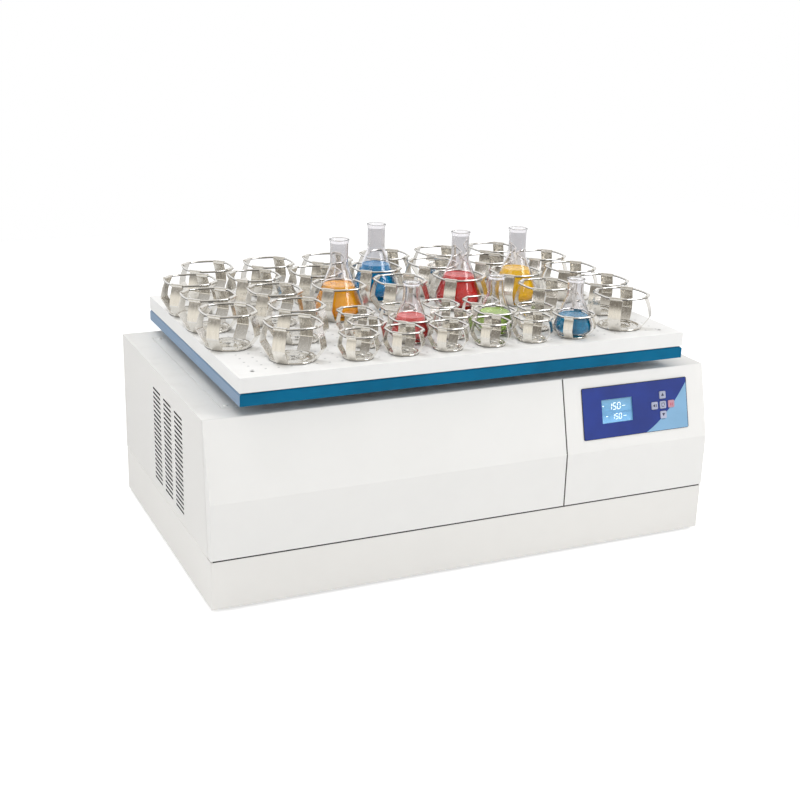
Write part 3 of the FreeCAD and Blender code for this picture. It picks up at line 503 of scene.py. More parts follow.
def printed_film(name, deep, light):
    """Glossy front film: deep blue, with a light corner below a rising curve, and a thin dark edge."""
    material, tree, shader = finish_of(name, deep, 0.22, IOR=1.5)
    coords = node(tree, "SeparateXYZ", {0: node(tree, "TexCoord").outputs["Object"]}).outputs
    run = math_of(tree, "SUBTRACT", coords["X"], CURVE_START)
    rise = math_of(tree, "SUBTRACT", coords["Z"], CREASE_HEIGHT)
    rise = math_of(tree, "DIVIDE", rise, math.sin(PANEL_LEAN))
    ahead = math_of(tree, "MAXIMUM", run, 0.0)
    curve = math_of(tree, "ADD", math_of(tree, "MULTIPLY", ahead, CURVE_SLOPE),
                    math_of(tree, "MULTIPLY", math_of(tree, "MULTIPLY", ahead, ahead), CURVE_BEND))
    curve = math_of(tree, "ADD", curve, CURVE_FOOT)
    below = ramp(tree, math_of(tree, "SUBTRACT", curve, rise), -0.0002, 0.0004)
    right = math_of(tree, "GREATER_THAN", run, 0.0)
    corner = math_of(tree, "MULTIPLY", below, right)
    cloud = noise(tree, node(tree, "TexCoord").outputs["Object"], 14.0, 4.0)
    deep_tone = blend_colours(tree, ramp(tree, cloud, 0.3, 0.7), shade(deep, 0.88), shade(deep, 1.15))
    light_tone = blend_colours(tree, ramp(tree, cloud, 0.3, 0.7), shade(light, 0.94), shade(light, 1.05))
    printed = blend_colours(tree, corner, deep_tone, light_tone)
    low, high = on_panel("control_overlay")
    edge = None
    for value, start, end in ((coords["X"], low.x, high.x), (rise, low.y, high.y)):
        off = math_of(tree, "ABSOLUTE", math_of(tree, "SUBTRACT", value, (start + end) / 2))
        near = math_of(tree, "GREATER_THAN", off, (end - start) / 2 - FILM_EDGE)
        edge = near if edge is None else math_of(tree, "MAXIMUM", edge, near)
    printed = blend_colours(tree, edge, printed, FILM_EDGE_TONE)
    tree.links.new(printed, shader.inputs["Base Color"])
    skin = use(tree, SKIN, Grain=1800.0, Patch=20.0)
    tree.links.new(ramp(tree, skin["Patches"], 0, 1, 0.24, 0.27), shader.inputs["Roughness"])
    bump(tree, shader, skin["Height"], 0.02, 0.0002)
    return material


def backlit(name, colour, glow, strength):
    """Lit display layer: brighter towards its lower edge, with the faint grid of its cells."""
    material, tree, shader = finish_of(name, colour, 0.3)
    coords = node(tree, "SeparateXYZ", {0: node(tree, "TexCoord").outputs["Object"]}).outputs
    low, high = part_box("display_module")
    fall = ramp(tree, coords["Z"], low.z, high.z, 1.12, 0.86)
    cells = math_of(tree, "SINE", math_of(tree, "MULTIPLY", coords["X"], 2 * math.pi / LCD_CELL))
    grid = ramp(tree, cells, -1.0, 1.0, 0.97, 1.0)
    level = math_of(tree, "MULTIPLY", fall, grid)
    tone = blend_colours(tree, ramp(tree, level, 0.82, 1.12), shade(glow, 0.82), shade(glow, 1.2))
    tree.links.new(tone, shader.inputs["Base Color"])
    tree.links.new(tone, shader.inputs["Emission Color"])
    shader.inputs["Emission Strength"].default_value = strength
    return material


def lit_mark(name, colour, strength):
    """Bright strokes of the display."""
    material, tree, shader = finish_of(name, colour, 0.4)
    cloud = noise(tree, node(tree, "TexCoord").outputs["Object"], 900.0, 2.0)
    tone = blend_colours(tree, ramp(tree, cloud, 0.3, 0.7), shade(colour, 0.93), shade(colour, 1.0))
    tree.links.new(tone, shader.inputs["Base Color"])
    tree.links.new(tone, shader.inputs["Emission Color"])
    shader.inputs["Emission Strength"].default_value = strength
    return material


def clear_material(name, tint, roughness, ior):
    """Glass or clear plastic: it bends what is behind it, and lets the lamps reach what it holds."""
    material, tree, shader = finish_of(name, tint, roughness, IOR=ior, Transmission_Weight=1.0)
    skin = use(tree, SKIN, Grain=90.0, Patch=26.0)
    tone = blend_colours(tree, skin["Patches"], shade(tint, 0.97), shade(tint, 1.0))
    tree.links.new(tone, shader.inputs["Base Color"])
    tree.links.new(ramp(tree, skin["Patches"], 0, 1, roughness, roughness + 0.03),
                   shader.inputs["Roughness"])
    bump(tree, shader, skin["Height"], 0.04, 0.0006)
    through = node(tree, "BsdfTransparent", {"Color": shade(tint, 0.97)})
    shadow = node(tree, "LightPath").outputs["Is Shadow Ray"]
    mixed = node(tree, "MixShader", {0: shadow, 1: shader.outputs[0], 2: through.outputs[0]})
    tree.links.new(mixed.outputs[0], tree.nodes["Material Output"].inputs["Surface"])
    return material


def dyed_water(name, colour):
    """Coloured liquid with faint streaks of uneven dye."""
    material, tree, shader = finish_of(name, colour, 0.06, IOR=1.28, Transmission_Weight=0.55)
    place = node(tree, "TexCoord").outputs["Object"]
    streaks = noise(tree, place, 55.0, 4.0, 0.6)
    tone = blend_colours(tree, ramp(tree, streaks, 0.3, 0.7), shade(colour, 0.80), shade(colour, 1.15))
    tree.links.new(tone, shader.inputs["Base Color"])
    tree.links.new(ramp(tree, streaks, 0.3, 0.7, 0.04, 0.10), shader.inputs["Roughness"])
    return material


WHITE_COAT = powder_coat("white_powder_coat", (0.870, 0.863, 0.842))[0]
WALL_COAT = powder_coat("wall_powder_coat", (0.860, 0.846, 0.815))[0]
LOUVRED_COAT = louvred_coat("louvred_powder_coat", (0.830, 0.818, 0.792))
TRAY_COAT = perforated_coat("tray_powder_coat", (0.880, 0.876, 0.862))
RAIL_PAINT = gloss_paint("blue_rail_paint", (0.000, 0.130, 0.260))
FILM = printed_film("panel_film", (0.010, 0.034, 0.245), (0.242, 0.456, 0.679))
LCD_GLOW = backlit("display_glow", (0.10, 0.36, 0.62), (0.145, 0.330, 0.500), 0.42)
LCD_MARKS = lit_mark("display_strokes", (0.93, 0.97, 1.0), 0.9)
KEY_CAP = moulded("key_cap", (0.440, 0.470, 0.610), 0.38, 2200.0, 0.08, 0.0)
KEY_CAP_RED = moulded("key_cap_red", (0.580, 0.290, 0.370), 0.38, 2200.0, 0.08, 0.0)
KEY_INK = moulded("key_ink", (0.016, 0.018, 0.060), 0.5, 2200.0, 0.05, 0.0)
KEY_INK_RED = moulded("key_ink_red", (0.480, 0.030, 0.060), 0.5, 2200.0, 0.05, 0.0)
# Painted shade under the strips' curls, under the ring wires and at the dishes' lower edges, set by the
# under factor and the range of normals.
CLAMP_STEEL = sprung_steel("clamp_strip_steel", (0.860, 0.835, 0.785), 0.20, 0.04, 0.30, (-0.95, -0.72))
WIRE_STEEL = sprung_steel("ring_wire_steel", (0.840, 0.825, 0.795), 0.14, 0.03, 0.16)
DISH_STEEL = sprung_steel("clamp_dish_steel", (0.780, 0.760, 0.715), 0.11, 0.04, 0.25)
SCREW_STEEL = turned_metal("screw_steel", (0.60, 0.60, 0.59), 0.28)
MACHINED = turned_metal("machined_steel", (0.55, 0.56, 0.57), 0.32)
BEARING_STEEL = turned_metal("bearing_steel", (0.66, 0.67, 0.68), 0.20, 0.0011)
ALLOY = turned_metal("turned_alloy", (0.72, 0.73, 0.74), 0.34, 0.0010)
PLATE_STEEL = sprung_steel("zinc_plate_steel", (0.60, 0.61, 0.60), 0.36)
CASTING = moulded("painted_casting", (0.045, 0.050, 0.056), 0.52, 520.0, 0.35)
BLACK_PLASTIC = moulded("black_plastic", (0.016, 0.016, 0.018), 0.45)
RUBBER = moulded("rubber", (0.020, 0.020, 0.021), 0.72, 900.0, 0.25)
# Dark finish of the strips that paint shade in the front gaps
SEAM_SHADE_FINISH = moulded("painted_seam_shade", (0.030, 0.029, 0.026), 0.70, 900.0, 0.20, 0.05)
BELT_RUBBER = moulded("belt_rubber", (0.016, 0.016, 0.017), 0.66, 600.0, 0.30)
BOARD = moulded("circuit_board", (0.020, 0.130, 0.050), 0.42, 1500.0, 0.12)
MARK_WHITE = moulded("switch_mark", (0.78, 0.78, 0.76), 0.45, 2200.0, 0.05, 0.0)
GLASS = clear_material("flask_glass", (0.965, 0.955, 0.970), 0.0, 1.38)
WINDOW = clear_material("display_window_clear", (0.96, 0.98, 1.0), 0.02, 1.30)
LIQUIDS = {
    "flask_orange": dyed_water("dye_orange", (0.960, 0.460, 0.020)),
    "flask_blue": dyed_water("dye_blue", (0.0, 0.270, 0.560)),
    "flask_red": dyed_water("dye_red", (0.700, 0.030, 0.022)),
    "flask_yellow": dyed_water("dye_yellow", (0.970, 0.600, 0.004)),
    "flask_small_red": dyed_water("dye_light_red", (0.800, 0.100, 0.085)),
    "flask_small_green": dyed_water("dye_green", (0.400, 0.600, 0.100)),
    "flask_small_blue": dyed_water("dye_dark_blue", (0.0, 0.230, 0.410)),
}


def dress(material, *nodes):
    """Gives CAD solids their finish."""
    for name in nodes:
        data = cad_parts[name].data
        data.materials.clear()
        data.materials.append(material)


dress(WHITE_COAT, "deck_cover", "deck_screws", "fascia_main", "fascia_control")
dress(WALL_COAT, "base_pan")
dress(LOUVRED_COAT, "housing_shell")
dress(TRAY_COAT, "tray_plate")
dress(RAIL_PAINT, "edge_rails")
dress(FILM, "control_overlay")
dress(LCD_GLOW, "display_module")
dress(WINDOW, "display_window")
dress(KEY_CAP, "key_up", "key_down", "key_left", "key_centre")
dress(KEY_CAP_RED, "key_right")
dress(BOARD, "control_board")
dress(BLACK_PLASTIC, "mains_inlet", "switch_frame", "power_rocker")
dress(RUBBER, "levelling_feet", "pin_seals")
dress(BELT_RUBBER, "drive_belt")
dress(SCREW_STEEL, "clamp_screws")
dress(PLATE_STEEL, "mechanism_plate", "motor_bracket")
dress(MACHINED, "support_columns", "drive_shaft", "motor_shaft", "idler_crank_front_left",
      "idler_crank_rear_left", "idler_crank_front_right", "idler_crank_rear_right")
dress(BEARING_STEEL, "main_bearings", "idler_bearings", "tray_bearings")
dress(ALLOY, "drive_pulley", "motor_pulley", "carrier_frame", "drive_controller")
dress(CASTING, "main_bearing_housing", "idler_bearing_housings", "counterweight", "motor_body")


# Mesh helpers

def piece(name, bm, material, body, smooth=35.0):
    """Object of a finished mesh, riding on a body. Edges sharper than smooth degrees stay crisp."""
    mesh = bpy.data.meshes.new(name)
    bm.to_mesh(mesh)
    bm.free()
    mesh.materials.append(material)
    obj = bpy.data.objects.new(name, mesh)
    bpy.context.scene.collection.objects.link(obj)
    for face in mesh.polygons:
        face.use_smooth = True
    mesh.set_sharp_from_angle(angle=math.radians(smooth))
    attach(obj, body)
    return obj


def outline(bm, points, arc=4):
    """Open line through (radius, height, rounding) points in the XZ plane, its corners rounded."""
    verts = [bm.verts.new((x, 0, z)) for x, z, rounding in points]
    for first, second in zip(verts, verts[1:]):
        bm.edges.new((first, second))
    for vert, (x, z, rounding) in zip(verts, points):
        if rounding:
            bmesh.ops.bevel(bm, geom=[vert], offset=rounding, offset_type="OFFSET", affect="VERTICES",
                            segments=arc, profile=0.5, material=-1)


def turned(points, steps=40, arc=4):
    """Solid of revolution about Z of a rounded outline."""
    bm = bmesh.new()
    outline(bm, points, arc)
    bmesh.ops.spin(bm, geom=bm.verts[:] + bm.edges[:], cent=(0, 0, 0), axis=(0, 0, 1),
                   angle=2 * math.pi, steps=steps, use_merge=True)
    bmesh.ops.remove_doubles(bm, verts=bm.verts, dist=1e-6)
    bmesh.ops.recalc_face_normals(bm, faces=bm.faces)
    return bm


def copies(template, places):
    """One mesh that repeats a template at each place."""
    mesh = bpy.data.meshes.new("template")
    template.to_mesh(mesh)
    template.free()
    whole = bmesh.new()
    for place in places:
        before = len(whole.verts)
        whole.from_mesh(mesh)
        whole.verts.ensure_lookup_table()
        bmesh.ops.translate(whole, verts=whole.verts[before:], vec=place)
    bpy.data.meshes.remove(mesh)
    return whole


def join_into(bm, other, matrix=None):
    """Adds another mesh to bm, placed by the matrix."""
    if matrix is not None:
        bmesh.ops.transform(other, matrix=matrix, verts=other.verts)
    mesh = bpy.data.meshes.new("part")
    other.to_mesh(mesh)
    other.free()
    bm.from_mesh(mesh)
    bpy.data.meshes.remove(mesh)


# Clamps

def leg(clamp):
    """One spring strip: out from the dish, folded, leaning in, and curled outwards over the ring."""
    bm = bmesh.new()
    height = clamp["height"]
    wire_x = clamp["ring"]
    wire_z = height - WIRE_RADIUS
    foot = clamp["base"] - FOOT_INSET
    belly = clamp["belly"] - STRIP_THICKNESS / 2
    top = wire_x - clamp["curl"]
    shoulder = belly - SHOULDER_LEAN * (belly - top)
    outline(bm, [(foot - FOOT_LENGTH, FOOT_LEVEL, 0), (foot, FOOT_LEVEL, 0.003),
                 (belly, FOLD * height, 0.0016),
                 (shoulder, SHOULDER_HEIGHT * height, SHOULDER_ROUNDING * height),
                 (top, wire_z - 0.003, 0.003), (top, wire_z, 0)])
    tip = max(bm.verts, key=lambda vert: vert.co.z)
    bmesh.ops.spin(bm, geom=[tip], cent=(wire_x, 0, wire_z), axis=(0, 1, 0),
                   angle=CURL_TURN, steps=CURL_STEPS)
    bmesh.ops.translate(bm, verts=bm.verts, vec=(0, -clamp["leg"] / 2, 0))
    strip = bmesh.ops.extrude_edge_only(bm, edges=bm.edges[:])
    moved = [item for item in strip["geom"] if isinstance(item, bmesh.types.BMVert)]
    bmesh.ops.translate(bm, verts=moved, vec=(0, clamp["leg"], 0))
    bmesh.ops.recalc_face_normals(bm, faces=bm.faces)
    bmesh.ops.solidify(bm, geom=bm.faces[:], thickness=STRIP_THICKNESS)
    bmesh.ops.recalc_face_normals(bm, faces=bm.faces)
    return bm


def dish(clamp):
    """Pressed round base: a flat middle, a raised bead where the flask stands and a rolled edge."""
    r = clamp["base"]
    return turned([(0, 0.0012, 0), (0.40 * r, 0.0012, 0.001), (0.47 * r, 0.0036, 0.001),
                   (0.58 * r, 0.0036, 0.001), (0.66 * r, 0.0016, 0.001), (0.80 * r, 0.0020, 0.001),
                   (r - 0.0045, DISH_RIM, 0.002),
                   (r - 0.0005, 0.0036, 0.001), (r - 0.0002, 0.0004, 0.0004), (r - 0.002, 0.0002, 0),
                   (0, 0.0002, 0)], steps=36)


def clamp_set(name, clamp, node):
    """The strips and the dishes of one row of clamps, in place of its CAD solids."""
    found = clamps_of(node, clamp)
    strips = bmesh.new()
    for seat, sizes in found:
        for quarter in range(4):
            turn = Matrix.Rotation(math.radians(45 + 90 * quarter), 4, "Z")
            join_into(strips, leg(sizes), Matrix.Translation(seat) @ turn)
    legs = piece(name + "_strips", strips, CLAMP_STEEL, "tray", smooth=30)
    dishes = copies(dish(clamp), [seat for seat, sizes in found])
    bases = piece(name + "_dishes", dishes, DISH_STEEL, "tray", smooth=40)
    for obj in (legs, bases):
        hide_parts(node)
    return found


def ring_wire(curve, clamp, place):
    """Closed spring wire: straight in each strip's curl, and a flattened arc between the strips."""
    half = clamp["leg"] / 2
    ring = clamp["ring"]
    points = []
    for quarter in range(4):
        turn = Matrix.Rotation(math.radians(45 + 90 * quarter), 4, "Z")
        for along in (-half - 0.003, -half * 0.5, half * 0.5, half + 0.003):
            points.append(turn @ Vector((ring, along, 0)))
        bow = Matrix.Rotation(math.radians(90 + 90 * quarter), 4, "Z")
        points.append(bow @ Vector((ring - RING_FLATTENING, 0, 0)))
    spline = curve.splines.new("NURBS")
    spline.points.add(len(points) - 1)
    height = clamp["height"] - WIRE_RADIUS
    for point, at in zip(spline.points, points):
        where = place + at + Vector((0, 0, height))
        point.co = (*where, 1.0)
    spline.use_cyclic_u = True
    spline.order_u = 3


def clamp_rings(found):
    """All ring wires as one piece, in place of the frame's rings of square wire."""
    curve = bpy.data.curves.new("ring_wires", "CURVE")
    curve.dimensions = "3D"
    curve.resolution_u = 3
    curve.bevel_depth = WIRE_RADIUS
    curve.bevel_resolution = 2
    for seat, sizes in found:
        ring_wire(curve, sizes, seat)
    drawn = bpy.data.objects.new("ring_wires_curve", curve)
    bpy.context.scene.collection.objects.link(drawn)
    mesh = bpy.data.meshes.new_from_object(drawn)
    bpy.data.objects.remove(drawn)
    bm = bmesh.new()
    bm.from_mesh(mesh)
    bpy.data.meshes.remove(mesh)
    rings = piece("ring_wires", bm, WIRE_STEEL, "tray", smooth=60)
    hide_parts("clamp_rings")


clamps = []
for row in ("front", "middle", "rear", "back"):
    clamps += clamp_set("large_clamp_" + row, LARGE_CLAMP, "large_clamps_" + row)
for row in ("front", "middle", "rear"):
    clamps += clamp_set("small_clamp_" + row, SMALL_CLAMP, "small_clamps_" + row)
clamp_rings(clamps)


# Flasks and what is in them

def flask_shape(node):
    """Height, neck radius, heel radius and widest radius of a flask of the frame, and its seat."""
    low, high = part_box(node)
    height = high.z - low.z
    kind = LARGE_FLASK if height > TALL_FLASK else SMALL_FLASK
    seat = Vector(((low.x + high.x) / 2, (low.y + high.y) / 2, low.z))
    return height, kind["neck"], kind["heel"], (high.x - low.x) / 2, seat


def cone_side(widest, heel, neck, inset):
    """Lowest point and shoulder point with their roundings, for an outline moved inwards by inset."""
    slope = math.tan(FLASK_TAPER)
    corner = math.tan(math.pi / 4 - FLASK_TAPER / 2)
    foot = widest + heel * (1 / corner - 1) - inset * (slope + 1 / math.cos(FLASK_TAPER))
    shoulder = inset + (foot - neck + inset) / slope
    bend = (FLASK_SHOULDER + inset) * math.tan(FLASK_TAPER / 2)
    return (foot, inset, (heel - inset) / corner), (neck - inset, shoulder, bend)


def flask(node):
    """Thin glass wall with a round heel, a straight cone, a soft shoulder and a flared lip."""
    height, neck, heel, widest, seat = flask_shape(node)
    w = GLASS_WALL
    foot, shoulder = cone_side(widest, heel, neck, 0.0)
    foot_inside, shoulder_inside = cone_side(widest, heel, neck, w)
    lip = neck + 0.002
    bm = turned([(0, 0, 0), foot, shoulder, (neck, height - 0.006, 0.002), (lip, height - 0.0022, 0.001),
                 (lip, height, 0.0007), (neck - w, height, 0.0007), shoulder_inside, foot_inside,
                 (0, w, 0)], steps=64, arc=8)
    bmesh.ops.translate(bm, verts=bm.verts, vec=seat)
    glass = piece(node + "_glass", bm, GLASS, node, smooth=50)
    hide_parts(node)


def liquid(node):
    """Coloured liquid that fills the lower part, with a small rise where it meets the glass."""
    height, neck, heel, widest, seat = flask_shape(node)
    inset = GLASS_WALL + LIQUID_GAP
    foot = cone_side(widest, heel, neck, inset)[0]
    level = height * FILL[node]
    wall = foot[0] - (level - inset) * math.tan(FLASK_TAPER)
    bm = turned([(0, inset, 0), foot, (wall, level, 0), (wall - 0.0006, level, 0),
                 (wall - 0.0032, level - 0.0012, 0.0012), (0, level - 0.0013, 0)], steps=64, arc=8)
    bmesh.ops.translate(bm, verts=bm.verts, vec=seat)
    piece(node + "_liquid", bm, LIQUIDS[node], node, smooth=40)


for name in LIQUIDS:
    flask(name)
    liquid(name)


# Display and key marks

def bar(bm, centre, size, slant=0.0):
    """Flat bar on the panel, its top sheared to the right by the slant."""
    made = bmesh.ops.create_cube(bm, size=1.0)["verts"]
    lean = Matrix.Identity(4)
    lean[0][1] = slant
    scale = Matrix.Diagonal((size[0], size[1], PRINT_THICKNESS, 1.0))
    bmesh.ops.transform(bm, matrix=Matrix.Translation(centre) @ lean @ scale, verts=made)


DIGIT_STROKES = {"0": "abcdef", "1": "bc", "5": "acdfg"}


def seven_segment(bm, figure, x, up, out, height):
    """One figure of the display, its lower left corner at (x, up)."""
    width = height * FIGURE_WIDTH
    half = height / 2
    s = SEGMENT_WIDTH * height / FIGURE_HEIGHT
    gap = s * SEGMENT_GAP
    level = {"a": height, "g": half, "d": 0.0}
    side = {"f": (0.0, half), "b": (width, half), "e": (0.0, 0.0), "c": (width, 0.0)}
    for stroke in DIGIT_STROKES[figure]:
        if stroke in level:
            y = level[stroke]
            at = Vector((x + width / 2 + DIGIT_SLANT * y, up + y, out))
            bar(bm, at, (width - s - gap, s), DIGIT_SLANT)
        else:
            dx, dy = side[stroke]
            y = dy + half / 2
            at = Vector((x + dx + DIGIT_SLANT * y, up + y, out))
            bar(bm, at, (s, half - s - gap), DIGIT_SLANT)


def display_marks():
    """Two readings of three figures, each with small marks beside it."""
    low, high = on_panel("display_module")
    left, right = low.x + LCD_MARGIN, high.x - LCD_MARGIN
    span, rise = right - left, (high.y - low.y) - 2 * LCD_MARGIN
    base = low.y + LCD_MARGIN
    out = high.z + PRINT_THICKNESS
    bm = bmesh.new()
    for start, level, height in ((0.26, 0.54, 0.0125), (0.34, 0.17, 0.0105)):
        x = left + start * span
        up = base + level * rise
        for figure in "150":
            seven_segment(bm, figure, x, up, out, height)
            x += height * FIGURE_PITCH
        for step in range(3):
            bar(bm, Vector((x + 0.003 + 0.0024 * step, up + height * 0.45, out)), (0.0017, 0.0011))
    for across, level in ((0.10, 0.70), (0.20, 0.30)):
        bar(bm, Vector((left + across * span, base + level * rise, out)), (0.0034, 0.0014))
    bmesh.ops.transform(bm, matrix=PANEL, verts=bm.verts)
    piece("display_strokes", bm, LCD_MARKS, "housing")


def arrow(bm, centre, size, turn):
    """Solid triangle on a key, pointing up before it is turned."""
    made = bmesh.ops.create_cone(bm, cap_ends=True, segments=3, radius1=size, radius2=size,
                                 depth=PRINT_THICKNESS)["verts"]
    place = Matrix.Translation(centre) @ Matrix.Rotation(turn, 4, "Z")
    bmesh.ops.transform(bm, matrix=place, verts=made)


def key_mark(key, draw, material):
    """Printed sign on a key's face, riding with the key."""
    low, high = on_panel(key)
    centre = Vector(((low.x + high.x) / 2, (low.y + high.y) / 2, high.z + PRINT_THICKNESS / 2))
    bm = bmesh.new()
    draw(bm, centre)
    bmesh.ops.transform(bm, matrix=PANEL, verts=bm.verts)
    piece(key + "_mark", bm, material, key)


def mark_up(bm, centre):
    """Arrow up."""
    arrow(bm, centre, 0.0042, 0.0)


def mark_down(bm, centre):
    """Arrow down."""
    arrow(bm, centre + Vector((0, 0.001, 0)), 0.0040, math.pi)


def mark_left(bm, centre):
    """Arrow to the left, with a bar behind it."""
    arrow(bm, centre - Vector((0.001, 0, 0)), 0.0036, math.pi / 2)
    bar(bm, centre + Vector((0.0036, 0, 0)), (0.0016, 0.0056))


def mark_loop(bm, centre):
    """Square with its lower right corner left open."""
    for dx, dy, width, height in ((0, 0.0034, 0.0068, 0.0012), (0, -0.0034, 0.0050, 0.0012),
                                  (-0.0030, 0, 0.0012, 0.0068), (0.0030, 0.0010, 0.0012, 0.0048)):
        bar(bm, centre + Vector((dx, dy, 0)), (width, height))


def mark_stop(bm, centre):
    """Two upright bars."""
    for dx in (-0.0018, 0.0018):
        bar(bm, centre + Vector((dx, -0.0008, 0)), (0.0015, 0.0056))


def film_marks():
    """Small printed dashes on the film, below all keys but the red one."""
    bm = bmesh.new()
    out = on_panel("control_overlay")[1].z + PRINT_THICKNESS / 2
    for key in ("key_up", "key_left", "key_centre", "key_down"):
        low, high = on_panel(key)
        middle = (low.x + high.x) / 2
        for step in (-1, 0, 1):
            bar(bm, Vector((middle + 0.003 * step, low.y - 0.0016, out)), (0.0020, 0.0009))
    bmesh.ops.transform(bm, matrix=PANEL, verts=bm.verts)
    piece("film_marks", bm, KEY_INK, "housing")


display_marks()
key_mark("key_up", mark_up, KEY_INK)
key_mark("key_down", mark_down, KEY_INK)
key_mark("key_left", mark_left, KEY_INK)
key_mark("key_centre", mark_loop, KEY_INK)
key_mark("key_right", mark_stop, KEY_INK_RED)
film_marks()


def rocker_marks():
    """Line on the rocker's on half and ring on its off half, riding with it."""
    low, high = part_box("power_rocker")
    half = (high.z - low.z) / 2
    bm = bmesh.new()
    for side, steps, size, reach in ((1, 1, (0.0010, 0.0046), 0.0), (-1, 16, (0.0008, 0.0011), 0.0022)):
        out = ROCKER_DEPTH + half / 2 * math.tan(ROCKER_ANGLE) + PRINT_THICKNESS / 2
        face = (Matrix.Translation(ROCKER_PIVOT) @ Matrix.Rotation(-ROCKER_ANGLE, 4, "X")
                @ Matrix.Translation((0, out, side * half / 2))
                @ Matrix.Rotation(-side * ROCKER_ANGLE - math.pi / 2, 4, "X"))
        for step in range(steps):
            made = bmesh.ops.create_cube(bm, size=1.0)["verts"]
            turn = Matrix.Rotation(2 * math.pi * step / steps, 4, "Z")
            place = Matrix.Translation((reach, 0, 0)) @ Matrix.Diagonal((*size, PRINT_THICKNESS, 1.0))
            bmesh.ops.transform(bm, matrix=face @ turn @ place, verts=made)
    piece("rocker_marks", bm, MARK_WHITE, "rocker")


rocker_marks()


def panel_shade_strips():
    """Dark strips set back in the seam above the base and in the joint between the two front panels, as
    painted shade in these gaps.
    """
    bm = bmesh.new()
    low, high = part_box("base_pan")
    upright = (SEAM[1] + CREASE_HEIGHT) / 2
    strips = [(Matrix.Translation((0, FRONT_Y + SEAM_SHADE_SETBACK, sum(SEAM) / 2)),
               (high.x - low.x - 0.008, 0.0012, SEAM[1] - SEAM[0])),
              (Matrix.Translation((SPLIT_X, FRONT_Y + SPLIT_SHADE_SETBACK, upright)),
               (SPLIT_GAP, SEAM_STRIP_THICKNESS, CREASE_HEIGHT - SEAM[1])),
              (PANEL @ Matrix.Translation((SPLIT_X, SLOPE_LENGTH / 2, -SPLIT_SHADE_SETBACK)),
               (SPLIT_GAP, SLOPE_LENGTH - 0.003, SEAM_STRIP_THICKNESS))]
    # Painted shade: these dark strips stand where the gaps would show only shade.
    for place, size in strips:
        made = bmesh.ops.create_cube(bm, size=1.0)["verts"]
        bmesh.ops.transform(bm, matrix=place @ Matrix.Diagonal((*size, 1.0)), verts=made)
    piece("panel_shade_strips", bm, SEAM_SHADE_FINISH, "housing")


def side_strips():
    """Pale strips set back in the seam above the base, along both sides and the back."""
    bm = bmesh.new()
    middle = sum(SEAM) / 2
    height = SEAM[1] - SEAM[0]
    side = (SEAM_STRIP_THICKNESS, 2 * BACK_Y - 2 * STRIP_END_GAP, height)
    back = (2 * WALL_X - 2 * STRIP_END_GAP, SEAM_STRIP_THICKNESS, height)
    for centre, size in (((WALL_X - STRIP_SETBACK, 0, middle), side),
                         ((STRIP_SETBACK - WALL_X, 0, middle), side),
                         ((0, BACK_Y - STRIP_SETBACK, middle), back)):
        made = bmesh.ops.create_cube(bm, size=1.0)["verts"]
        place = Matrix.Translation(centre) @ Matrix.Diagonal((*size, 1.0))
        bmesh.ops.transform(bm, matrix=place, verts=made)
    piece("side_strips", bm, WALL_COAT, "housing")


panel_shade_strips()
side_strips()


# Stage, lamps and camera

def stage():
    """White floor that glows for the camera, up to the white of the background, and keeps the shadow."""
    bm = bmesh.new()
    bmesh.ops.create_grid(bm, x_segments=1, y_segments=1, size=3.0)
    mesh = bpy.data.meshes.new("floor")
    bm.to_mesh(mesh)
    bm.free()
    floor = bpy.data.objects.new("floor", mesh)
    bpy.context.scene.collection.objects.link(floor)
    material, tree, shader = finish_of("floor_white", (0.80, 0.80, 0.80), 0.9)
    seen = node(tree, "LightPath").outputs["Is Camera Ray"]
    shader.inputs["Emission Color"].default_value = (1.0, 1.0, 1.0, 1.0)
    tree.links.new(math_of(tree, "MULTIPLY", seen, FLOOR_GLOW), shader.inputs["Emission Strength"])
    mesh.materials.append(material)


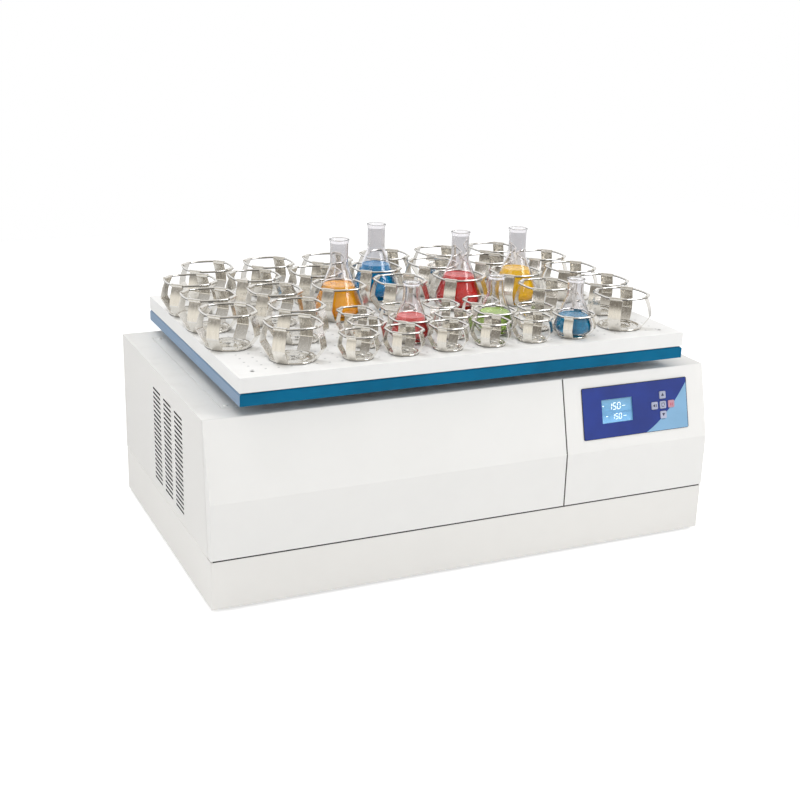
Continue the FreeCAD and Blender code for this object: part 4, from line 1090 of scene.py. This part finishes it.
def sky():
    """Studio surround: white for the camera and through glass, softer for what it lights, and with a
    darker band at the front where metal mirrors it."""
    world = bpy.data.worlds.new("studio")
    bpy.context.scene.world = world
    world.use_nodes = True
    tree = world.node_tree
    tree.nodes.clear()
    rays = node(tree, "LightPath").outputs
    direct = math_of(tree, "MAXIMUM", rays["Is Camera Ray"], rays["Is Transmission Ray"])
    way = node(tree, "SeparateXYZ", {0: node(tree, "TexCoord").outputs["Generated"]}).outputs
    front = ramp(tree, math_of(tree, "MULTIPLY", way["Y"], -1.0), -0.30, 0.35)
    band = math_of(tree, "MULTIPLY", ramp(tree, way["Z"], 0.22, 0.50), ramp(tree, way["Z"], 0.98, 0.80))
    wall = blend_colours(tree, band, (0.94, 0.90, 0.82, 1.0), (0.23, 0.21, 0.18, 1.0))
    room = blend_colours(tree, front, (0.95, 0.95, 0.95, 1.0), wall)
    tone = blend_colours(tree, rays["Is Glossy Ray"], (SURROUND, SURROUND, SURROUND, 1.0), room)
    tone = blend_colours(tree, direct, tone, (1.0, 1.0, 1.0, 1.0))
    light = node(tree, "Background", {"Color": tone, "Strength": 1.0})
    out = node(tree, "OutputWorld")
    tree.links.new(light.outputs[0], out.inputs["Surface"])


def lamp(name, place, size, power, seen_in_metal):
    """Soft square lamp that faces LAMP_AIM, with or without a mirror image in shiny surfaces."""
    data = bpy.data.lights.new(name, "AREA")
    data.size = size
    data.energy = power
    obj = bpy.data.objects.new(name, data)
    obj.location = place
    obj.rotation_euler = (Vector(LAMP_AIM) - Vector(place)).to_track_quat("-Z", "Y").to_euler()
    obj.visible_glossy = seen_in_metal
    bpy.context.scene.collection.objects.link(obj)


def camera(azimuth, elevation, roll, lens, distance, target, shift_right, shift_up):
    """Camera on a sphere around a target, rolled, then moved sideways in its own plane."""
    a, e, r = (math.radians(value) for value in (azimuth, elevation, roll))
    back = Vector((math.sin(a) * math.cos(e), -math.cos(a) * math.cos(e), math.sin(e)))
    right = Vector((0, 0, 1)).cross(back).normalized()
    up = back.cross(right)
    right, up = (math.cos(r) * right + math.sin(r) * up, math.cos(r) * up - math.sin(r) * right)
    data = bpy.data.cameras.new("camera")
    data.lens = lens
    data.sensor_width = 36.0
    data.clip_end = 100.0
    obj = bpy.data.objects.new("camera", data)
    where = Vector(target) + back * distance + right * shift_right + up * shift_up
    axes = Matrix((right, up, back)).transposed().to_4x4()
    obj.matrix_world = Matrix.Translation(where) @ axes
    bpy.context.scene.collection.objects.link(obj)
    bpy.context.scene.camera = obj


stage()
sky()
lamp("key_lamp", (2.2, -2.6, 2.6), size=1.8, power=70.0, seen_in_metal=True)
lamp("left_lamp", (-3.2, -1.0, 1.6), size=2.0, power=24.0, seen_in_metal=False)
lamp("top_lamp", (-1.0, 0.5, 3.1), size=2.4, power=41.0, seen_in_metal=False)
camera(azimuth=-24.927, elevation=18.384, roll=1.686, lens=59.49, distance=2.7408,
       target=(0, -0.005, 0.216), shift_right=-0.0186, shift_up=0.0259)
bpy.context.scene.view_settings.view_transform = "Standard"
